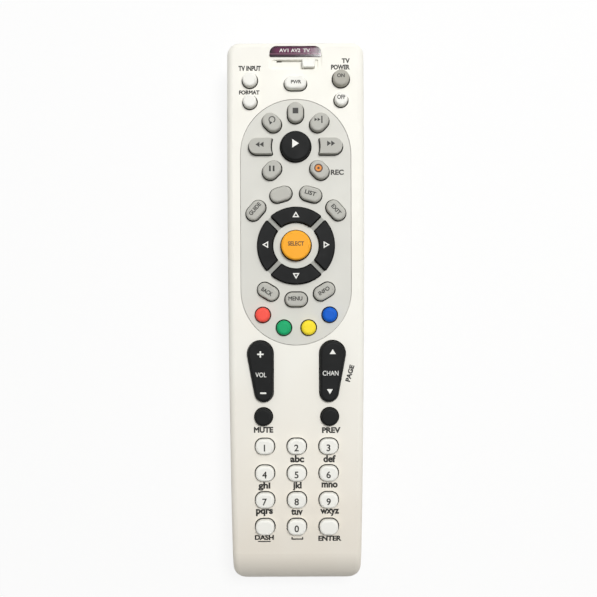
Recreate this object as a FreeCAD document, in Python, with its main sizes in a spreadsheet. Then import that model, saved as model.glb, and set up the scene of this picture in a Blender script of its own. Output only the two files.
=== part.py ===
"""Satellite receiver remote control, in millimetres.

The frame stands on the table under the middle of the flat back: +Z is up through the keys,
+Y runs towards the head with the infrared window, and +X is to the right seen from above.
"""
import FreeCAD
import Part
import math
import os
from types import SimpleNamespace

import Sketcher

Vector = FreeCAD.Vector
Constraint = Sketcher.Constraint

# Places closer together than this count as one
TOUCHING = 1e-6

# Turns of a coil that one face follows
TURNS_PER_FACE = 1.0

SIZES = {
    # Housing; every place along Y, a name in _y, is given for a housing of layout_length
    "housing_length": 223.2,
    "layout_length": 223.2,
    "housing_height": 25.4,
    "head_half_width": 28.05,
    "side_bow": 0.7,
    "waist_y": 35.0,
    "tail_half_width": 26.3,
    "head_corner": 5.0,
    "tail_corner": 7.0,
    "top_edge_radius": 2.5,
    "back_edge_radius": 3.0,
    "wall": 2.0,
    "tool_reach": 5.0,
    "fall_start_y": -72.5,
    "fall_radius": 400.0,
    "tail_roll_radius": 15.0,
    "tail_roll_angle": 72.0,
    # Joint between the two shells
    "split_height": 11.0,
    "split_seam": 0.25,
    "lip_height": 1.4,
    "lip_wall": 0.9,
    "lip_gap": 0.12,
    # Light grey key surround
    "panel_half_width": 22.5,
    "panel_head_y": 65.4,
    "panel_tail_y": 10.0,
    "panel_seam": 0.22,
    "panel_ledge": 0.6,
    "panel_ledge_thickness": 1.0,
    # What all keys share
    "key_gap": 0.45,
    "key_flange_lip": 0.5,
    "key_flange_depth": 2.7,
    "key_flange_thickness": 0.8,
    "key_edge_radius": 0.9,
    "key_corner": 0.3,
    "key_corner_edge": 0.25,
    "key_plunger_radius": 1.6,
    "key_plunger_gap": 0.1,
    "head_key_proud": 3.0,
    "menu_key_proud": 2.6,
    "number_key_proud": 2.3,
    "arc_key_proud": 2.2,
    "select_key_proud": 3.4,
    # Keys at the head
    "side_key_x": 18.6,
    "input_key_y": 95.6,
    "input_key_radius": 2.95,
    "format_key_y": 86.8,
    "format_key_radius": 2.75,
    "power_key_y": 94.2,
    "power_key_length": 8.9,
    "power_key_width": 5.2,
    "on_key_y": 96.1,
    "on_key_radius": 3.35,
    "off_key_y": 87.5,
    "off_key_radius": 2.7,
    # Playback keys
    "play_y": 68.5,
    "play_key_radius": 6.1,
    "oblong_ring_radius": 13.7,
    "oblong_length": 8.2,
    "oblong_width": 6.3,
    "fan_reach": 19.05,
    "fan_inner_radius": 10.1,
    "fan_width": 6.4,
    # Direction ring
    "ring_y": 28.1,
    "select_key_radius": 6.05,
    "arc_inner_radius": 9.7,
    "arc_outer_radius": 15.55,
    "spoke_width": 2.6,
    # Menu keys
    "menu_ring_radius": 21.7,
    "menu_step": 32.5,
    "lower_ring_radius": 22.0,
    "lower_step": 31.3,
    "pill_length": 8.95,
    "pill_width": 5.75,
    # Colour keys
    "colour_centre_y": 12.5,
    "colour_ring_radius": 18.65,
    "colour_step": 31.4,
    "colour_key_radius": 3.0,
    "colour_key_edge": 1.3,
    # Rocker keys
    "rocker_head_x": 14.75,
    "rocker_head_y": -16.0,
    "rocker_head_radius": 5.12,
    "rocker_foot_x": 13.3,
    "rocker_foot_y": -31.9,
    "rocker_foot_radius": 3.62,
    "rocker_proud": 2.8,
    "rocker_edge_radius": 1.1,
    "rocker_tab_half_length": 1.0,
    "rocker_tab_reach": 1.1,
    "rocker_plunger_offset": 8.5,
    # Keys below the rockers
    "mute_x": 13.5,
    "mute_y": -41.8,
    "mute_key_radius": 3.5,
    # Number pad
    "number_head_y": -53.9,
    "number_column_step": 13.0,
    "number_row_step": 10.95,
    "number_key_width": 7.6,
    "number_key_height": 6.2,
    "number_key_corner": 2.9,
    # Infrared window
    "window_half_width": 10.5,
    "window_head_y": 109.8,
    "window_tail_y": 105.5,
    "window_corner": 2.8,
    "window_low_corner": 0.5,
    "window_thickness": 1.4,
    "window_gap": 0.08,
    "lens_low": 12.6,
    "lens_high": 19.6,
    "neck_half_width": 7.5,
    "neck_thickness": 1.8,
    # Mode slider and its slide switch
    "recess_half_width": 10.85,
    "recess_tail_y": 100.2,
    "recess_depth": 0.5,
    "recess_corner": 1.5,
    "slot_half_width": 9.3,
    "slot_tail_y": 100.5,
    "slot_head_y": 104.4,
    "slot_depth": 1.2,
    "slot_corner": 0.6,
    "slit_y": 103.8,
    "slit_width": 0.7,
    "slider_rest_x": 5.4,
    "slider_travel": 12.0,
    "knob_width": 5.3,
    "knob_length": 3.5,
    "knob_proud": 1.7,
    "knob_edge_radius": 0.6,
    "knob_top_radius": 0.45,
    "stem_width": 2.0,
    "stem_thickness": 0.5,
    "slider_foot_width": 22.0,
    "slider_foot_length": 3.4,
    "slider_foot_thickness": 1.0,
    "finger_width": 1.4,
    "slider_gap": 0.15,
    "switch_half_width": 9.8,
    "switch_length": 4.0,
    "switch_height": 1.8,
    # Circuit board and the silicone key sheet
    "board_depth": 7.4,
    "board_thickness": 1.6,
    "board_side_gap": 0.6,
    "board_head_y": 105.9,
    "board_tail_y": -101.0,
    "board_corner": 4.0,
    "sheet_thickness": 1.1,
    "sheet_side_gap": 0.9,
    "sheet_head_y": 99.7,
    "sheet_tail_y": -92.6,
    "sheet_hole_gap": 0.5,
    # Case screws and the posts that hold them
    "post_head_inset": 7.5,
    "post_head_y": 103.5,
    "post_tail_inset": 4.8,
    "post_tail_y": -97.0,
    "post_radius": 2.9,
    "upper_post_radius": 2.4,
    "post_gap": 0.1,
    "post_sink": 0.5,
    "screw_radius": 1.2,
    "screw_head_radius": 2.2,
    "screw_head_height": 1.6,
    "screw_tip_depth": 3.8,
    "screw_length": 12.6,
    "screw_hole_gap": 0.2,
    "recess_arm_width": 0.5,
    "recess_arm_length": 2.6,
    "recess_arm_depth": 0.9,
    # Battery bay, cells, contacts and door
    "cell_radius": 7.25,
    "cell_length": 49.5,
    "cell_nub_radius": 2.75,
    "cell_nub_length": 1.0,
    "cell_side_gap": 0.35,
    "cell_roof_gap": 0.05,
    "cell_low": 2.05,
    "bay_side_gap": 0.65,
    "bay_floor_sink": 1.0,
    "bay_wall": 1.2,
    "bay_head_y": -37.2,
    "spring_room": 7.1,
    "contact_thickness": 0.4,
    "contact_width": 11.0,
    "contact_low": 4.0,
    "contact_high": 15.0,
    "spring_wire_radius": 0.4,
    "spring_base_radius": 4.2,
    "spring_turns": 3.75,
    "door_side_lap": 0.3,
    "door_head_y": -35.0,
    "door_thickness": 1.8,
    "door_rail_reach": 1.2,
    "door_rail_low": 1.0,
    "door_gap": 0.2,
    "rail_cover_thickness": 1.0,
    "rail_cover_reach": 1.4,
    "rail_cover_sink": 0.5,
    "grip_count": 5.0,
    "grip_step": 2.2,
    "grip_half_length": 7.0,
    "grip_radius": 0.5,
    "grip_head_offset": 5.0,
    # Electronics under the board
    "chip_width": 9.0,
    "chip_length": 12.6,
    "chip_thickness": 1.7,
    "chip_y": 2.0,
    "chip_lead_reach": 1.3,
    "chip_lead_count": 10.0,
    "led_radius": 2.5,
    "led_x": 4.6,
    "led_z": 15.2,
    "led_head_y": 106.5,
    "led_body_length": 6.2,
    "led_collar_radius": 2.9,
    "led_collar_length": 1.0,
    "led_lead_radius": 0.25,
    "can_radius": 3.2,
    "can_length": 9.0,
    "can_x": -12.0,
    "can_y": 20.0,
    "crystal_width": 7.0,
    "crystal_height": 3.4,
    "crystal_length": 2.6,
    "crystal_x": 11.0,
    "crystal_y": 14.0,
    "resistor_count": 6.0,
    "resistor_step": 5.0,
    "resistor_head_y": 60.0,
    "resistor_x": 8.0,
    "resistor_length": 2.0,
    "resistor_width": 1.2,
    "resistor_height": 0.5,
}


class Size:
    """A number together with its formula over the cells of the sheet."""

    def __init__(self, value, text):
        self.value = value
        self.text = text

    def joined(self, sign, other, value):
        return Size(value, f"({self.text} {sign} {as_size(other).text})")

    def __add__(self, other):
        return self.joined("+", other, self.value + as_size(other).value)

    def __sub__(self, other):
        return self.joined("-", other, self.value - as_size(other).value)

    def __mul__(self, other):
        return self.joined("*", other, self.value * as_size(other).value)

    def __truediv__(self, other):
        return self.joined("/", other, self.value / as_size(other).value)

    def __neg__(self):
        return Size(-self.value, f"(0 - {self.text})")

    def squared(self):
        return self * self

    def root(self):
        return Size(math.sqrt(self.value), f"sqrt({self.text})")

    def cosine(self):
        return Size(math.cos(math.radians(self.value)), f"cos({self.text} * 1 deg)")

    def sine(self):
        return Size(math.sin(math.radians(self.value)), f"sin({self.text} * 1 deg)")


def as_size(number):
    if isinstance(number, Size):
        return number
    return Size(number, f"({number})")


document = FreeCAD.newDocument("remote_control")
sheet = document.addObject("Spreadsheet::Sheet", "sizes")
for row, (alias, number) in enumerate(SIZES.items(), 1):
    sheet.set(f"A{row}", alias)
    sheet.set(f"B{row}", str(number))
    sheet.setAlias(f"B{row}", alias)
document.recompute()
size = SimpleNamespace(**{alias: Size(number, f"sizes.{alias}") for alias, number in SIZES.items()})
ZERO = as_size(0)

stretch = size.housing_length / size.layout_length
for alias in SIZES:
    if alias.endswith("_y"):
        setattr(size, alias, getattr(size, alias) * stretch)

# Levels that several pieces share, from the top of the housing down
top = size.housing_height
above = top + size.tool_reach
below = -size.tool_reach
skin_low = top - size.wall
flange_top = top - size.key_flange_depth
flange_low = flange_top - size.key_flange_thickness
board_low = top - size.board_depth
board_top = board_low + size.board_thickness
sheet_top = board_top + size.sheet_thickness
screw_tip = top - size.screw_tip_depth
screw_seat = screw_tip - size.screw_length

# Edges and widths that several pieces share
half_length = size.housing_length / 2
far_x = size.head_half_width + size.tail_half_width
waist_share = (size.waist_y + half_length) / size.housing_length
cell_x = size.cell_radius + size.cell_side_gap
bay_half_width = cell_x + size.cell_radius + size.bay_side_gap
bay_outer_x = bay_half_width + size.bay_wall
bay_roof_low = size.cell_low + size.cell_radius * 2 + size.cell_roof_gap
bay_length = size.cell_length + size.cell_nub_length + size.spring_room
bay_tail_y = size.bay_head_y - bay_length
door_half_width = bay_outer_x + size.door_side_lap
rail_x = door_half_width + size.door_rail_reach


def bind(thing, path, amount):
    """Tie one property of a document object to a formula."""
    thing.setExpression(path, as_size(amount).text)


def place(thing, x=ZERO, y=ZERO, z=ZERO, angle=ZERO, axis="0; 0; 1"):
    """Place a document object at a point, turned about an axis through that point."""
    spot = "; ".join(as_size(amount).text for amount in (x, y, z))
    turn = f"rotation(vector({axis}); {as_size(angle).text} * 1 deg)"
    thing.setExpression("Placement", f"placement(vector({spot}); {turn})")


def new_body(label):
    body = document.addObject("PartDesign::Body", label)
    body.Label = label
    return body


def new_sketch(body, height=ZERO, role="XY_Plane"):
    """An empty sketch on an origin plane of its own body, raised by height."""
    sketch = body.newObject("Sketcher::SketchObject", f"{body.Label}_sketch")
    plane = next(item for item in body.Origin.OriginFeatures if item.Role == role)
    sketch.AttachmentSupport = [(plane, "")]
    sketch.MapMode = "FlatFace"
    bind(sketch, "AttachmentOffset.Base.z", height)
    return sketch


def hold(sketch, kind, arguments, amount):
    """Add a dimension to a sketch and tie it to a formula."""
    amount = as_size(amount)
    index = sketch.addConstraint(Constraint(kind, *arguments, amount.value))
    bind(sketch, f"Constraints[{index}]", amount)


def hold_point(sketch, geometry, vertex, x, y):
    hold(sketch, "DistanceX", (-1, 1, geometry, vertex), x)
    hold(sketch, "DistanceY", (-1, 1, geometry, vertex), y)


def pin_to_origin(sketch, geometry):
    sketch.addConstraint(Constraint("Coincident", geometry, 3, -1, 1))


def arc(centre, radius, start, end):
    """An arc of a circle from its centre, radius and two angles in radians."""
    circle = Part.Circle(Vector(centre[0], centre[1], 0), Vector(0, 0, 1), radius)
    return Part.ArcOfCircle(circle, start, end)


def draw_polygon(sketch, corners):
    """Straight lines from corner to corner, each corner held by its two distances."""
    points = [(as_size(x), as_size(y)) for x, y in corners]
    vectors = [Vector(x.value, y.value, 0) for x, y in points]
    count = len(vectors)
    for index in range(count):
        sketch.addGeometry(Part.LineSegment(vectors[index], vectors[(index + 1) % count]))
    for index in range(count):
        sketch.addConstraint(Constraint("Coincident", index, 2, (index + 1) % count, 1))
        hold_point(sketch, index, 1, *points[index])


def draw_circle(sketch, radius, x=ZERO, y=ZERO):
    circle = Part.Circle(Vector(x.value, y.value, 0), Vector(0, 0, 1), radius.value)
    geometry = sketch.addGeometry(circle)
    hold_point(sketch, geometry, 3, x, y)
    hold(sketch, "Radius", (geometry,), radius)


def draw_hull(sketch, first, second):
    """Two round ends, each (x, y, radius), joined by their two outer tangents."""
    ends = [tuple(as_size(amount) for amount in end) for end in (first, second)]
    (x1, y1, r1), (x2, y2, r2) = [[amount.value for amount in end] for end in ends]
    heading = math.atan2(y2 - y1, x2 - x1)
    lean = math.acos((r1 - r2) / math.hypot(x2 - x1, y2 - y1))
    left, right = heading + lean, heading - lean

    def rim(x, y, radius, angle):
        return Vector(x + radius * math.cos(angle), y + radius * math.sin(angle), 0)

    far = sketch.addGeometry(arc((x2, y2), r2, right, left))
    near = sketch.addGeometry(arc((x1, y1), r1, left, right + 2 * math.pi))
    upper = sketch.addGeometry(Part.LineSegment(rim(x2, y2, r2, left), rim(x1, y1, r1, left)))
    lower = sketch.addGeometry(Part.LineSegment(rim(x1, y1, r1, right), rim(x2, y2, r2, right)))
    chain = (far, upper, near, lower)
    for index, geometry in enumerate(chain):
        sketch.addConstraint(Constraint("Tangent", geometry, 2, chain[(index + 1) % 4], 1))
    for geometry, (x, y, radius) in ((near, ends[0]), (far, ends[1])):
        hold_point(sketch, geometry, 3, x, y)
        hold(sketch, "Radius", (geometry,), radius)


def rectangle(x_low, x_high, y_low, y_high):
    return [(x_low, y_low), (x_high, y_low), (x_high, y_high), (x_low, y_high)]


# Key outlines: each returns a function that draws the shape, grown all round by an amount

def round_outline(radius):
    def draw(sketch, grow):
        draw_circle(sketch, radius + grow)
    return draw


def oblong_outline(length, width):
    def draw(sketch, grow):
        reach = (length - width) / 2
        radius = width / 2 + grow
        draw_hull(sketch, (-reach, ZERO, radius), (reach, ZERO, radius))
    return draw


def rocker_outline(side):
    def draw(sketch, grow):
        head = (size.rocker_head_x * side, size.rocker_head_y, size.rocker_head_radius + grow)
        foot = (size.rocker_foot_x * side, size.rocker_foot_y, size.rocker_foot_radius + grow)
        draw_hull(sketch, head, foot)
    return draw


def rectangle_outline(width, height):
    def draw(sketch, grow):
        x = width / 2 + grow
        y = height / 2 + grow
        draw_polygon(sketch, rectangle(-x, x, -y, y))
    return draw


def fan_outline(sketch, grow):
    """A key with a round outer end, whose inner end follows the play key's circle."""
    half = size.fan_width / 2 + grow
    centre = size.fan_reach - size.fan_width / 2
    inner = size.fan_inner_radius - grow
    corner = (inner.squared() - half.squared()).root()
    turn = math.asin(half.value / inner.value)
    outer_end = sketch.addGeometry(arc((centre.value, 0), half.value, -math.pi / 2, math.pi / 2))
    inner_end = sketch.addGeometry(arc((0, 0), inner.value, -turn, turn))
    upper = sketch.addGeometry(Part.LineSegment(Vector(centre.value, half.value, 0),
                                                Vector(corner.value, half.value, 0)))
    lower = sketch.addGeometry(Part.LineSegment(Vector(corner.value, -half.value, 0),
                                                Vector(centre.value, -half.value, 0)))
    sketch.addConstraint(Constraint("Tangent", outer_end, 2, upper, 1))
    sketch.addConstraint(Constraint("Coincident", upper, 2, inner_end, 2))
    sketch.addConstraint(Constraint("Coincident", inner_end, 1, lower, 1))
    sketch.addConstraint(Constraint("Tangent", lower, 2, outer_end, 1))
    sketch.addConstraint(Constraint("Horizontal", upper))
    sketch.addConstraint(Constraint("Horizontal", lower))
    hold_point(sketch, outer_end, 3, centre, ZERO)
    pin_to_origin(sketch, inner_end)
    hold(sketch, "Radius", (inner_end,), inner)
    hold(sketch, "DistanceY", (-1, 1, upper, 1), half)


def arc_outline(sketch, grow):
    """A quarter of the direction ring, its straight sides along the diagonal spokes."""
    inner = size.arc_inner_radius - grow
    outer = size.arc_outer_radius + grow
    offset = size.spoke_width / 2 - grow
    turns = [math.pi / 4 - math.asin(offset.value / radius.value) for radius in (inner, outer)]

    def rim(radius, angle):
        return Vector(radius.value * math.cos(angle), radius.value * math.sin(angle), 0)

    inside = sketch.addGeometry(arc((0, 0), inner.value, -turns[0], turns[0]))
    outside = sketch.addGeometry(arc((0, 0), outer.value, -turns[1], turns[1]))
    upper = sketch.addGeometry(Part.LineSegment(rim(inner, turns[0]), rim(outer, turns[1])))
    lower = sketch.addGeometry(Part.LineSegment(rim(inner, -turns[0]), rim(outer, -turns[1])))
    sketch.addConstraint(Constraint("Coincident", inside, 2, upper, 1))
    sketch.addConstraint(Constraint("Coincident", upper, 2, outside, 2))
    sketch.addConstraint(Constraint("Coincident", outside, 1, lower, 2))
    sketch.addConstraint(Constraint("Coincident", lower, 1, inside, 1))
    for geometry, radius in ((inside, inner), (outside, outer)):
        pin_to_origin(sketch, geometry)
        hold(sketch, "Radius", (geometry,), radius)
    for geometry, diagonal in ((upper, math.pi / 4), (lower, -math.pi / 4)):
        sketch.addConstraint(Constraint("Angle", geometry, diagonal))
        hold(sketch, "Distance", (-1, 1, geometry), offset)


def pad(body, draw, grow, low, high):
    """Raise an outline from one level to another."""
    sketch = new_sketch(body, low)
    draw(sketch, as_size(grow))
    feature = body.newObject("PartDesign::Pad", f"{body.Label}_pad")
    feature.Profile = sketch
    bind(feature, "Length", high - low)
    return feature


def fillet(body, base, radius, wanted):
    """Round the edges of the base for which wanted is true."""
    document.recompute()
    names = [f"Edge{index}" for index, edge in enumerate(base.Shape.Edges, 1) if wanted(edge)]
    feature = body.newObject("PartDesign::Fillet", f"{body.Label}_fillet")
    feature.Base = (base, names)
    bind(feature, "Radius", radius)
    return feature


def is_vertical(edge):
    """True for an upright line at a corner; the seam of a round face is left out."""
    box = edge.BoundBox
    flat = max(box.XLength, box.YLength) < TOUCHING
    return flat and box.ZLength > TOUCHING


def lies_at(level):
    def wanted(edge):
        box = edge.BoundBox
        return abs(box.ZMin - level.value) < TOUCHING and abs(box.ZMax - level.value) < TOUCHING
    return wanted


def prism(label, draw, grow, low, high, corner=None):
    """A body of its own with one outline, used to cut a hole or to add a block."""
    body = new_body(label)
    feature = pad(body, draw, grow, low, high)
    if corner is not None:
        fillet(body, feature, corner, is_vertical)
    return body


def polygon_prism(label, corners, low, high, corner=None):
    def draw(sketch, grow):
        draw_polygon(sketch, corners)
    return prism(label, draw, ZERO, low, high, corner)


def block(label, x_range, y_range, z_range):
    """An upright box between the given limits."""
    box = document.addObject("Part::Box", label)
    for path, (low, high) in zip(("Length", "Width", "Height"), (x_range, y_range, z_range)):
        bind(box, path, as_size(high) - as_size(low))
    place(box, x_range[0], y_range[0], z_range[0])
    return box


def cylinder(label, radius, x, y, low, high):
    """An upright round bar."""
    bar = document.addObject("Part::Cylinder", label)
    bind(bar, "Radius", radius)
    bind(bar, "Height", as_size(high) - as_size(low))
    place(bar, x, y, low)
    return bar


def lying_cylinder(label, radius, x, y_low, y_high, z):
    """A round bar along Y."""
    bar = document.addObject("Part::Cylinder", label)
    bind(bar, "Radius", radius)
    bind(bar, "Height", as_size(y_high) - as_size(y_low))
    place(bar, x, y_low, z, as_size(-90), "1; 0; 0")
    return bar


def fuse(label, pieces):
    """One solid from pieces that touch or overlap."""
    joined = document.addObject("Part::MultiFuse", label)
    joined.Shapes = pieces
    joined.Refine = True
    return joined


def gather(label, pieces):
    """Several separate solids in one object."""
    group = document.addObject("Part::Compound", label)
    group.Links = pieces
    return group


def cut(label, base, tool):
    result = document.addObject("Part::Cut", label)
    result.Base = base
    result.Tool = tool
    return result


def common(label, base, tool):
    result = document.addObject("Part::Common", label)
    result.Base = base
    result.Tool = tool
    return result


# Housing blanks

def housing_blank(label, inset):
    """The housing's outer form, or the same form drawn in all round by inset."""
    inset = as_size(inset)
    body = new_body(label)
    head_y = half_length - inset
    tail_y = -half_length + inset
    head_x = size.head_half_width - inset
    tail_x = size.tail_half_width - inset
    waist_x = tail_x + (head_x - tail_x) * waist_share + size.side_bow

    plan = new_sketch(body, inset)
    head, waist, tail = [Vector(x.value, y.value, 0) for x, y in
                         ((head_x, head_y), (waist_x, size.waist_y), (tail_x, tail_y))]
    mirrored = [Vector(-point.x, point.y, 0) for point in (head, waist, tail)]
    head_line = plan.addGeometry(Part.LineSegment(head, mirrored[0]))
    left_side = plan.addGeometry(Part.Arc(mirrored[0], mirrored[1], mirrored[2]))
    tail_line = plan.addGeometry(Part.LineSegment(mirrored[2], tail))
    right_side = plan.addGeometry(Part.Arc(tail, waist, head))
    for line, sign in ((head_line, 1), (tail_line, -1)):
        x, y = (head_x, head_y) if line == head_line else (tail_x, tail_y)
        hold_point(plan, line, 1, x * sign, y)
        hold_point(plan, line, 2, x * -sign, y)
    for side, sign in ((left_side, -1), (right_side, 1)):
        on_left = side == left_side
        plan.addConstraint(Constraint("Coincident", side, 1 if on_left else 2,
                                      head_line, 2 if on_left else 1))
        plan.addConstraint(Constraint("Coincident", side, 2 if on_left else 1,
                                      tail_line, 1 if on_left else 2))
        waist_point = plan.addGeometry(Part.Point(Vector(waist.x * sign, waist.y, 0)), True)
        hold_point(plan, waist_point, 1, waist_x * sign, size.waist_y)
        plan.addConstraint(Constraint("PointOnObject", waist_point, 1, side))
    block_pad = body.newObject("PartDesign::Pad", f"{label}_pad")
    block_pad.Profile = plan
    bind(block_pad, "Length", top - inset * 2)

    def corner_at(sign):
        return lambda edge: is_vertical(edge) and edge.CenterOfMass.y * sign > 0

    head_corners = fillet(body, block_pad, size.head_corner - inset, corner_at(1))
    tail_corners = fillet(body, head_corners, size.tail_corner - inset, corner_at(-1))

    profile = cut_profile(body, inset, tail_y)
    document.recompute()

    def on_top_rim(edge):
        box = edge.BoundBox
        middle = edge.valueAt((edge.FirstParameter + edge.LastParameter) / 2)
        on_back = box.ZMax - inset.value < TOUCHING
        crosses_top = abs(middle.x) < 1 and abs(middle.y) < head_y.value - 1
        return not (on_back or is_vertical(edge) or crosses_top)

    rounded_top = fillet(body, profile, size.top_edge_radius - inset, on_top_rim)
    fillet(body, rounded_top, size.back_edge_radius - inset, lies_at(inset))
    return body


def cut_profile(body, inset, tail_y):
    """Cut the top along the side profile: level, then a gentle fall, then the tail's roll."""
    fall = size.fall_radius - inset
    roll = size.tail_roll_radius - inset
    fall_y = size.fall_start_y
    fall_z = top - size.fall_radius
    roll_y = -half_length + size.tail_roll_radius * size.tail_roll_angle.sine()
    reach = size.fall_radius - size.tail_roll_radius
    roll_z = fall_z + (reach.squared() - (roll_y - fall_y).squared()).root()
    joint_turn = math.atan2(roll_z.value - fall_z.value, roll_y.value - fall_y.value)
    tail_turn = math.acos((tail_y.value - roll_y.value) / roll.value)
    tail_z = roll_z + (roll.squared() - (tail_y - roll_y).squared()).root()
    start = Vector(fall_y.value, top.value - inset.value, 0)
    clear = size.tool_reach

    sketch = new_sketch(body, ZERO, "YZ_Plane")
    fall_arc = sketch.addGeometry(arc((fall_y.value, fall_z.value), fall.value,
                                      math.pi / 2, joint_turn))
    roll_arc = sketch.addGeometry(arc((roll_y.value, roll_z.value), roll.value,
                                      joint_turn, tail_turn))
    corners = [(tail_y, tail_z), (tail_y - clear, tail_z), (tail_y - clear, top + clear),
               (fall_y, top + clear), (fall_y, top - inset)]
    vectors = [Vector(y.value, z.value, 0) for y, z in corners]
    lines = [sketch.addGeometry(Part.LineSegment(near, far))
             for near, far in zip(vectors[:-1], vectors[1:])]
    for near, far in zip(lines[:-1], lines[1:]):
        sketch.addConstraint(Constraint("Coincident", near, 2, far, 1))
    sketch.addConstraint(Constraint("Horizontal", lines[0]))
    for line, (y, z) in zip(lines[:2], corners[:2]):
        hold(sketch, "DistanceX", (-1, 1, line, 1), y)
    for line, (y, z) in zip(lines[2:], corners[2:]):
        hold_point(sketch, line, 1, y, z)
    hold_point(sketch, lines[-1], 2, *corners[-1])
    sketch.addConstraint(Constraint("Coincident", fall_arc, 1, lines[-1], 2))
    sketch.addConstraint(Constraint("Tangent", fall_arc, 2, roll_arc, 1))
    sketch.addConstraint(Constraint("Coincident", roll_arc, 2, lines[0], 1))
    hold_point(sketch, fall_arc, 3, fall_y, fall_z)
    hold_point(sketch, roll_arc, 3, roll_y, roll_z)

    pocket = body.newObject("PartDesign::Pocket", f"{body.Label}_profile")
    pocket.Profile = sketch
    pocket.Midplane = True
    bind(pocket, "Length", far_x * 2)
    return pocket


# Keys

shell_holes = []
panel_holes = []
sheet_holes = []
keys = []


def key(label, draw, x, y, proud, host, angle=ZERO, edge=size.key_edge_radius, corner=None,
        plunger_x=ZERO):
    """A cap with rounded rim, the flange that holds it in, its plunger, and its holes."""
    body = new_body(label)
    cap = pad(body, draw, ZERO, flange_top, top + proud)
    if corner is not None:
        cap = fillet(body, cap, corner, is_vertical)
    fillet(body, cap, edge, lies_at(top + proud))
    pad(body, draw, size.key_gap + size.key_flange_lip, flange_low, flange_top)

    def plunger(sketch, grow):
        draw_circle(sketch, size.key_plunger_radius, plunger_x)

    pad(body, plunger, ZERO, sheet_top + size.key_plunger_gap, flange_low)
    place(body, x, y, ZERO, angle)

    hole_corner = None if corner is None else corner + size.key_gap
    hole = prism(f"{label}_hole", draw, size.key_gap, flange_top, above, hole_corner)
    place(hole, x, y, ZERO, angle)
    host.append(hole)
    turned_x = x + plunger_x * as_size(angle).cosine()
    turned_y = y + plunger_x * as_size(angle).sine()
    sheet_holes.append(cylinder(f"{label}_sheet_hole", size.key_plunger_radius + size.sheet_hole_gap,
                                turned_x, turned_y, board_low, top))
    keys.append(body)
    return body


def on_ring(x, y, radius, angle):
    angle = as_size(angle)
    return x + radius * angle.cosine(), y + radius * angle.sine()


def head_keys():
    rounds = (
        ("tv_input_key", -size.side_key_x, size.input_key_y, size.input_key_radius),
        ("format_key", -size.side_key_x, size.format_key_y, size.format_key_radius),
        ("tv_on_key", size.side_key_x, size.on_key_y, size.on_key_radius),
        ("tv_off_key", size.side_key_x, size.off_key_y, size.off_key_radius),
    )
    for label, x, y, radius in rounds:
        key(label, round_outline(radius), x, y, size.head_key_proud, shell_holes)
    pill = oblong_outline(size.power_key_length, size.power_key_width)
    key("power_key", pill, ZERO, size.power_key_y, size.head_key_proud, shell_holes)


def playback_keys():
    key("play_key", round_outline(size.play_key_radius), ZERO, size.play_y,
        size.head_key_proud, panel_holes)
    oblong = oblong_outline(size.oblong_length, size.oblong_width)
    oblongs = (("skip_key", 45), ("stop_key", 90), ("replay_key", 135),
               ("pause_key", 225), ("record_key", 315))
    for label, angle in oblongs:
        x, y = on_ring(ZERO, size.play_y, size.oblong_ring_radius, angle)
        key(label, oblong, x, y, size.head_key_proud, panel_holes, as_size(angle))
    for label, angle in (("forward_key", 0), ("rewind_key", 180)):
        key(label, fan_outline, ZERO, size.play_y, size.head_key_proud, panel_holes,
            as_size(angle), size.key_corner_edge, size.key_corner,
            (size.fan_inner_radius + size.fan_reach) / 2)


def direction_keys():
    key("select_key", round_outline(size.select_key_radius), ZERO, size.ring_y,
        size.select_key_proud, panel_holes)
    quarters = (("right_key", 0), ("up_key", 90), ("left_key", 180), ("down_key", 270))
    for label, angle in quarters:
        key(label, arc_outline, ZERO, size.ring_y, size.arc_key_proud, panel_holes,
            as_size(angle), size.key_corner_edge, size.key_corner,
            (size.arc_inner_radius + size.arc_outer_radius) / 2)


def menu_keys():
    pill = oblong_outline(size.pill_length, size.pill_width)
    upper = (("guide_key", 1.5), ("shortcut_key", 0.5), ("list_key", -0.5), ("exit_key", -1.5))
    lower = (("back_key", -1), ("menu_key", 0), ("info_key", 1))
    for label, steps in upper:
        turn = size.menu_step * steps
        x, y = on_ring(ZERO, size.ring_y, size.menu_ring_radius, turn + 90)
        key(label, pill, x, y, size.menu_key_proud, panel_holes, turn)
    for label, steps in lower:
        turn = size.lower_step * steps
        x, y = on_ring(ZERO, size.ring_y, size.lower_ring_radius, turn - 90)
        key(label, pill, x, y, size.menu_key_proud, panel_holes, turn)
    colours = (("red_key", -1.5), ("green_key", -0.5), ("yellow_key", 0.5), ("blue_key", 1.5))
    for label, steps in colours:
        x, y = on_ring(ZERO, size.colour_centre_y, size.colour_ring_radius,
                       size.colour_step * steps - 90)
        key(label, round_outline(size.colour_key_radius), x, y, size.menu_key_proud,
            panel_holes, edge=size.colour_key_edge)


def rocker_pivot_y():
    head_end = size.rocker_head_y + size.rocker_head_radius
    foot_end = size.rocker_foot_y - size.rocker_foot_radius
    return (head_end + foot_end) / 2


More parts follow.
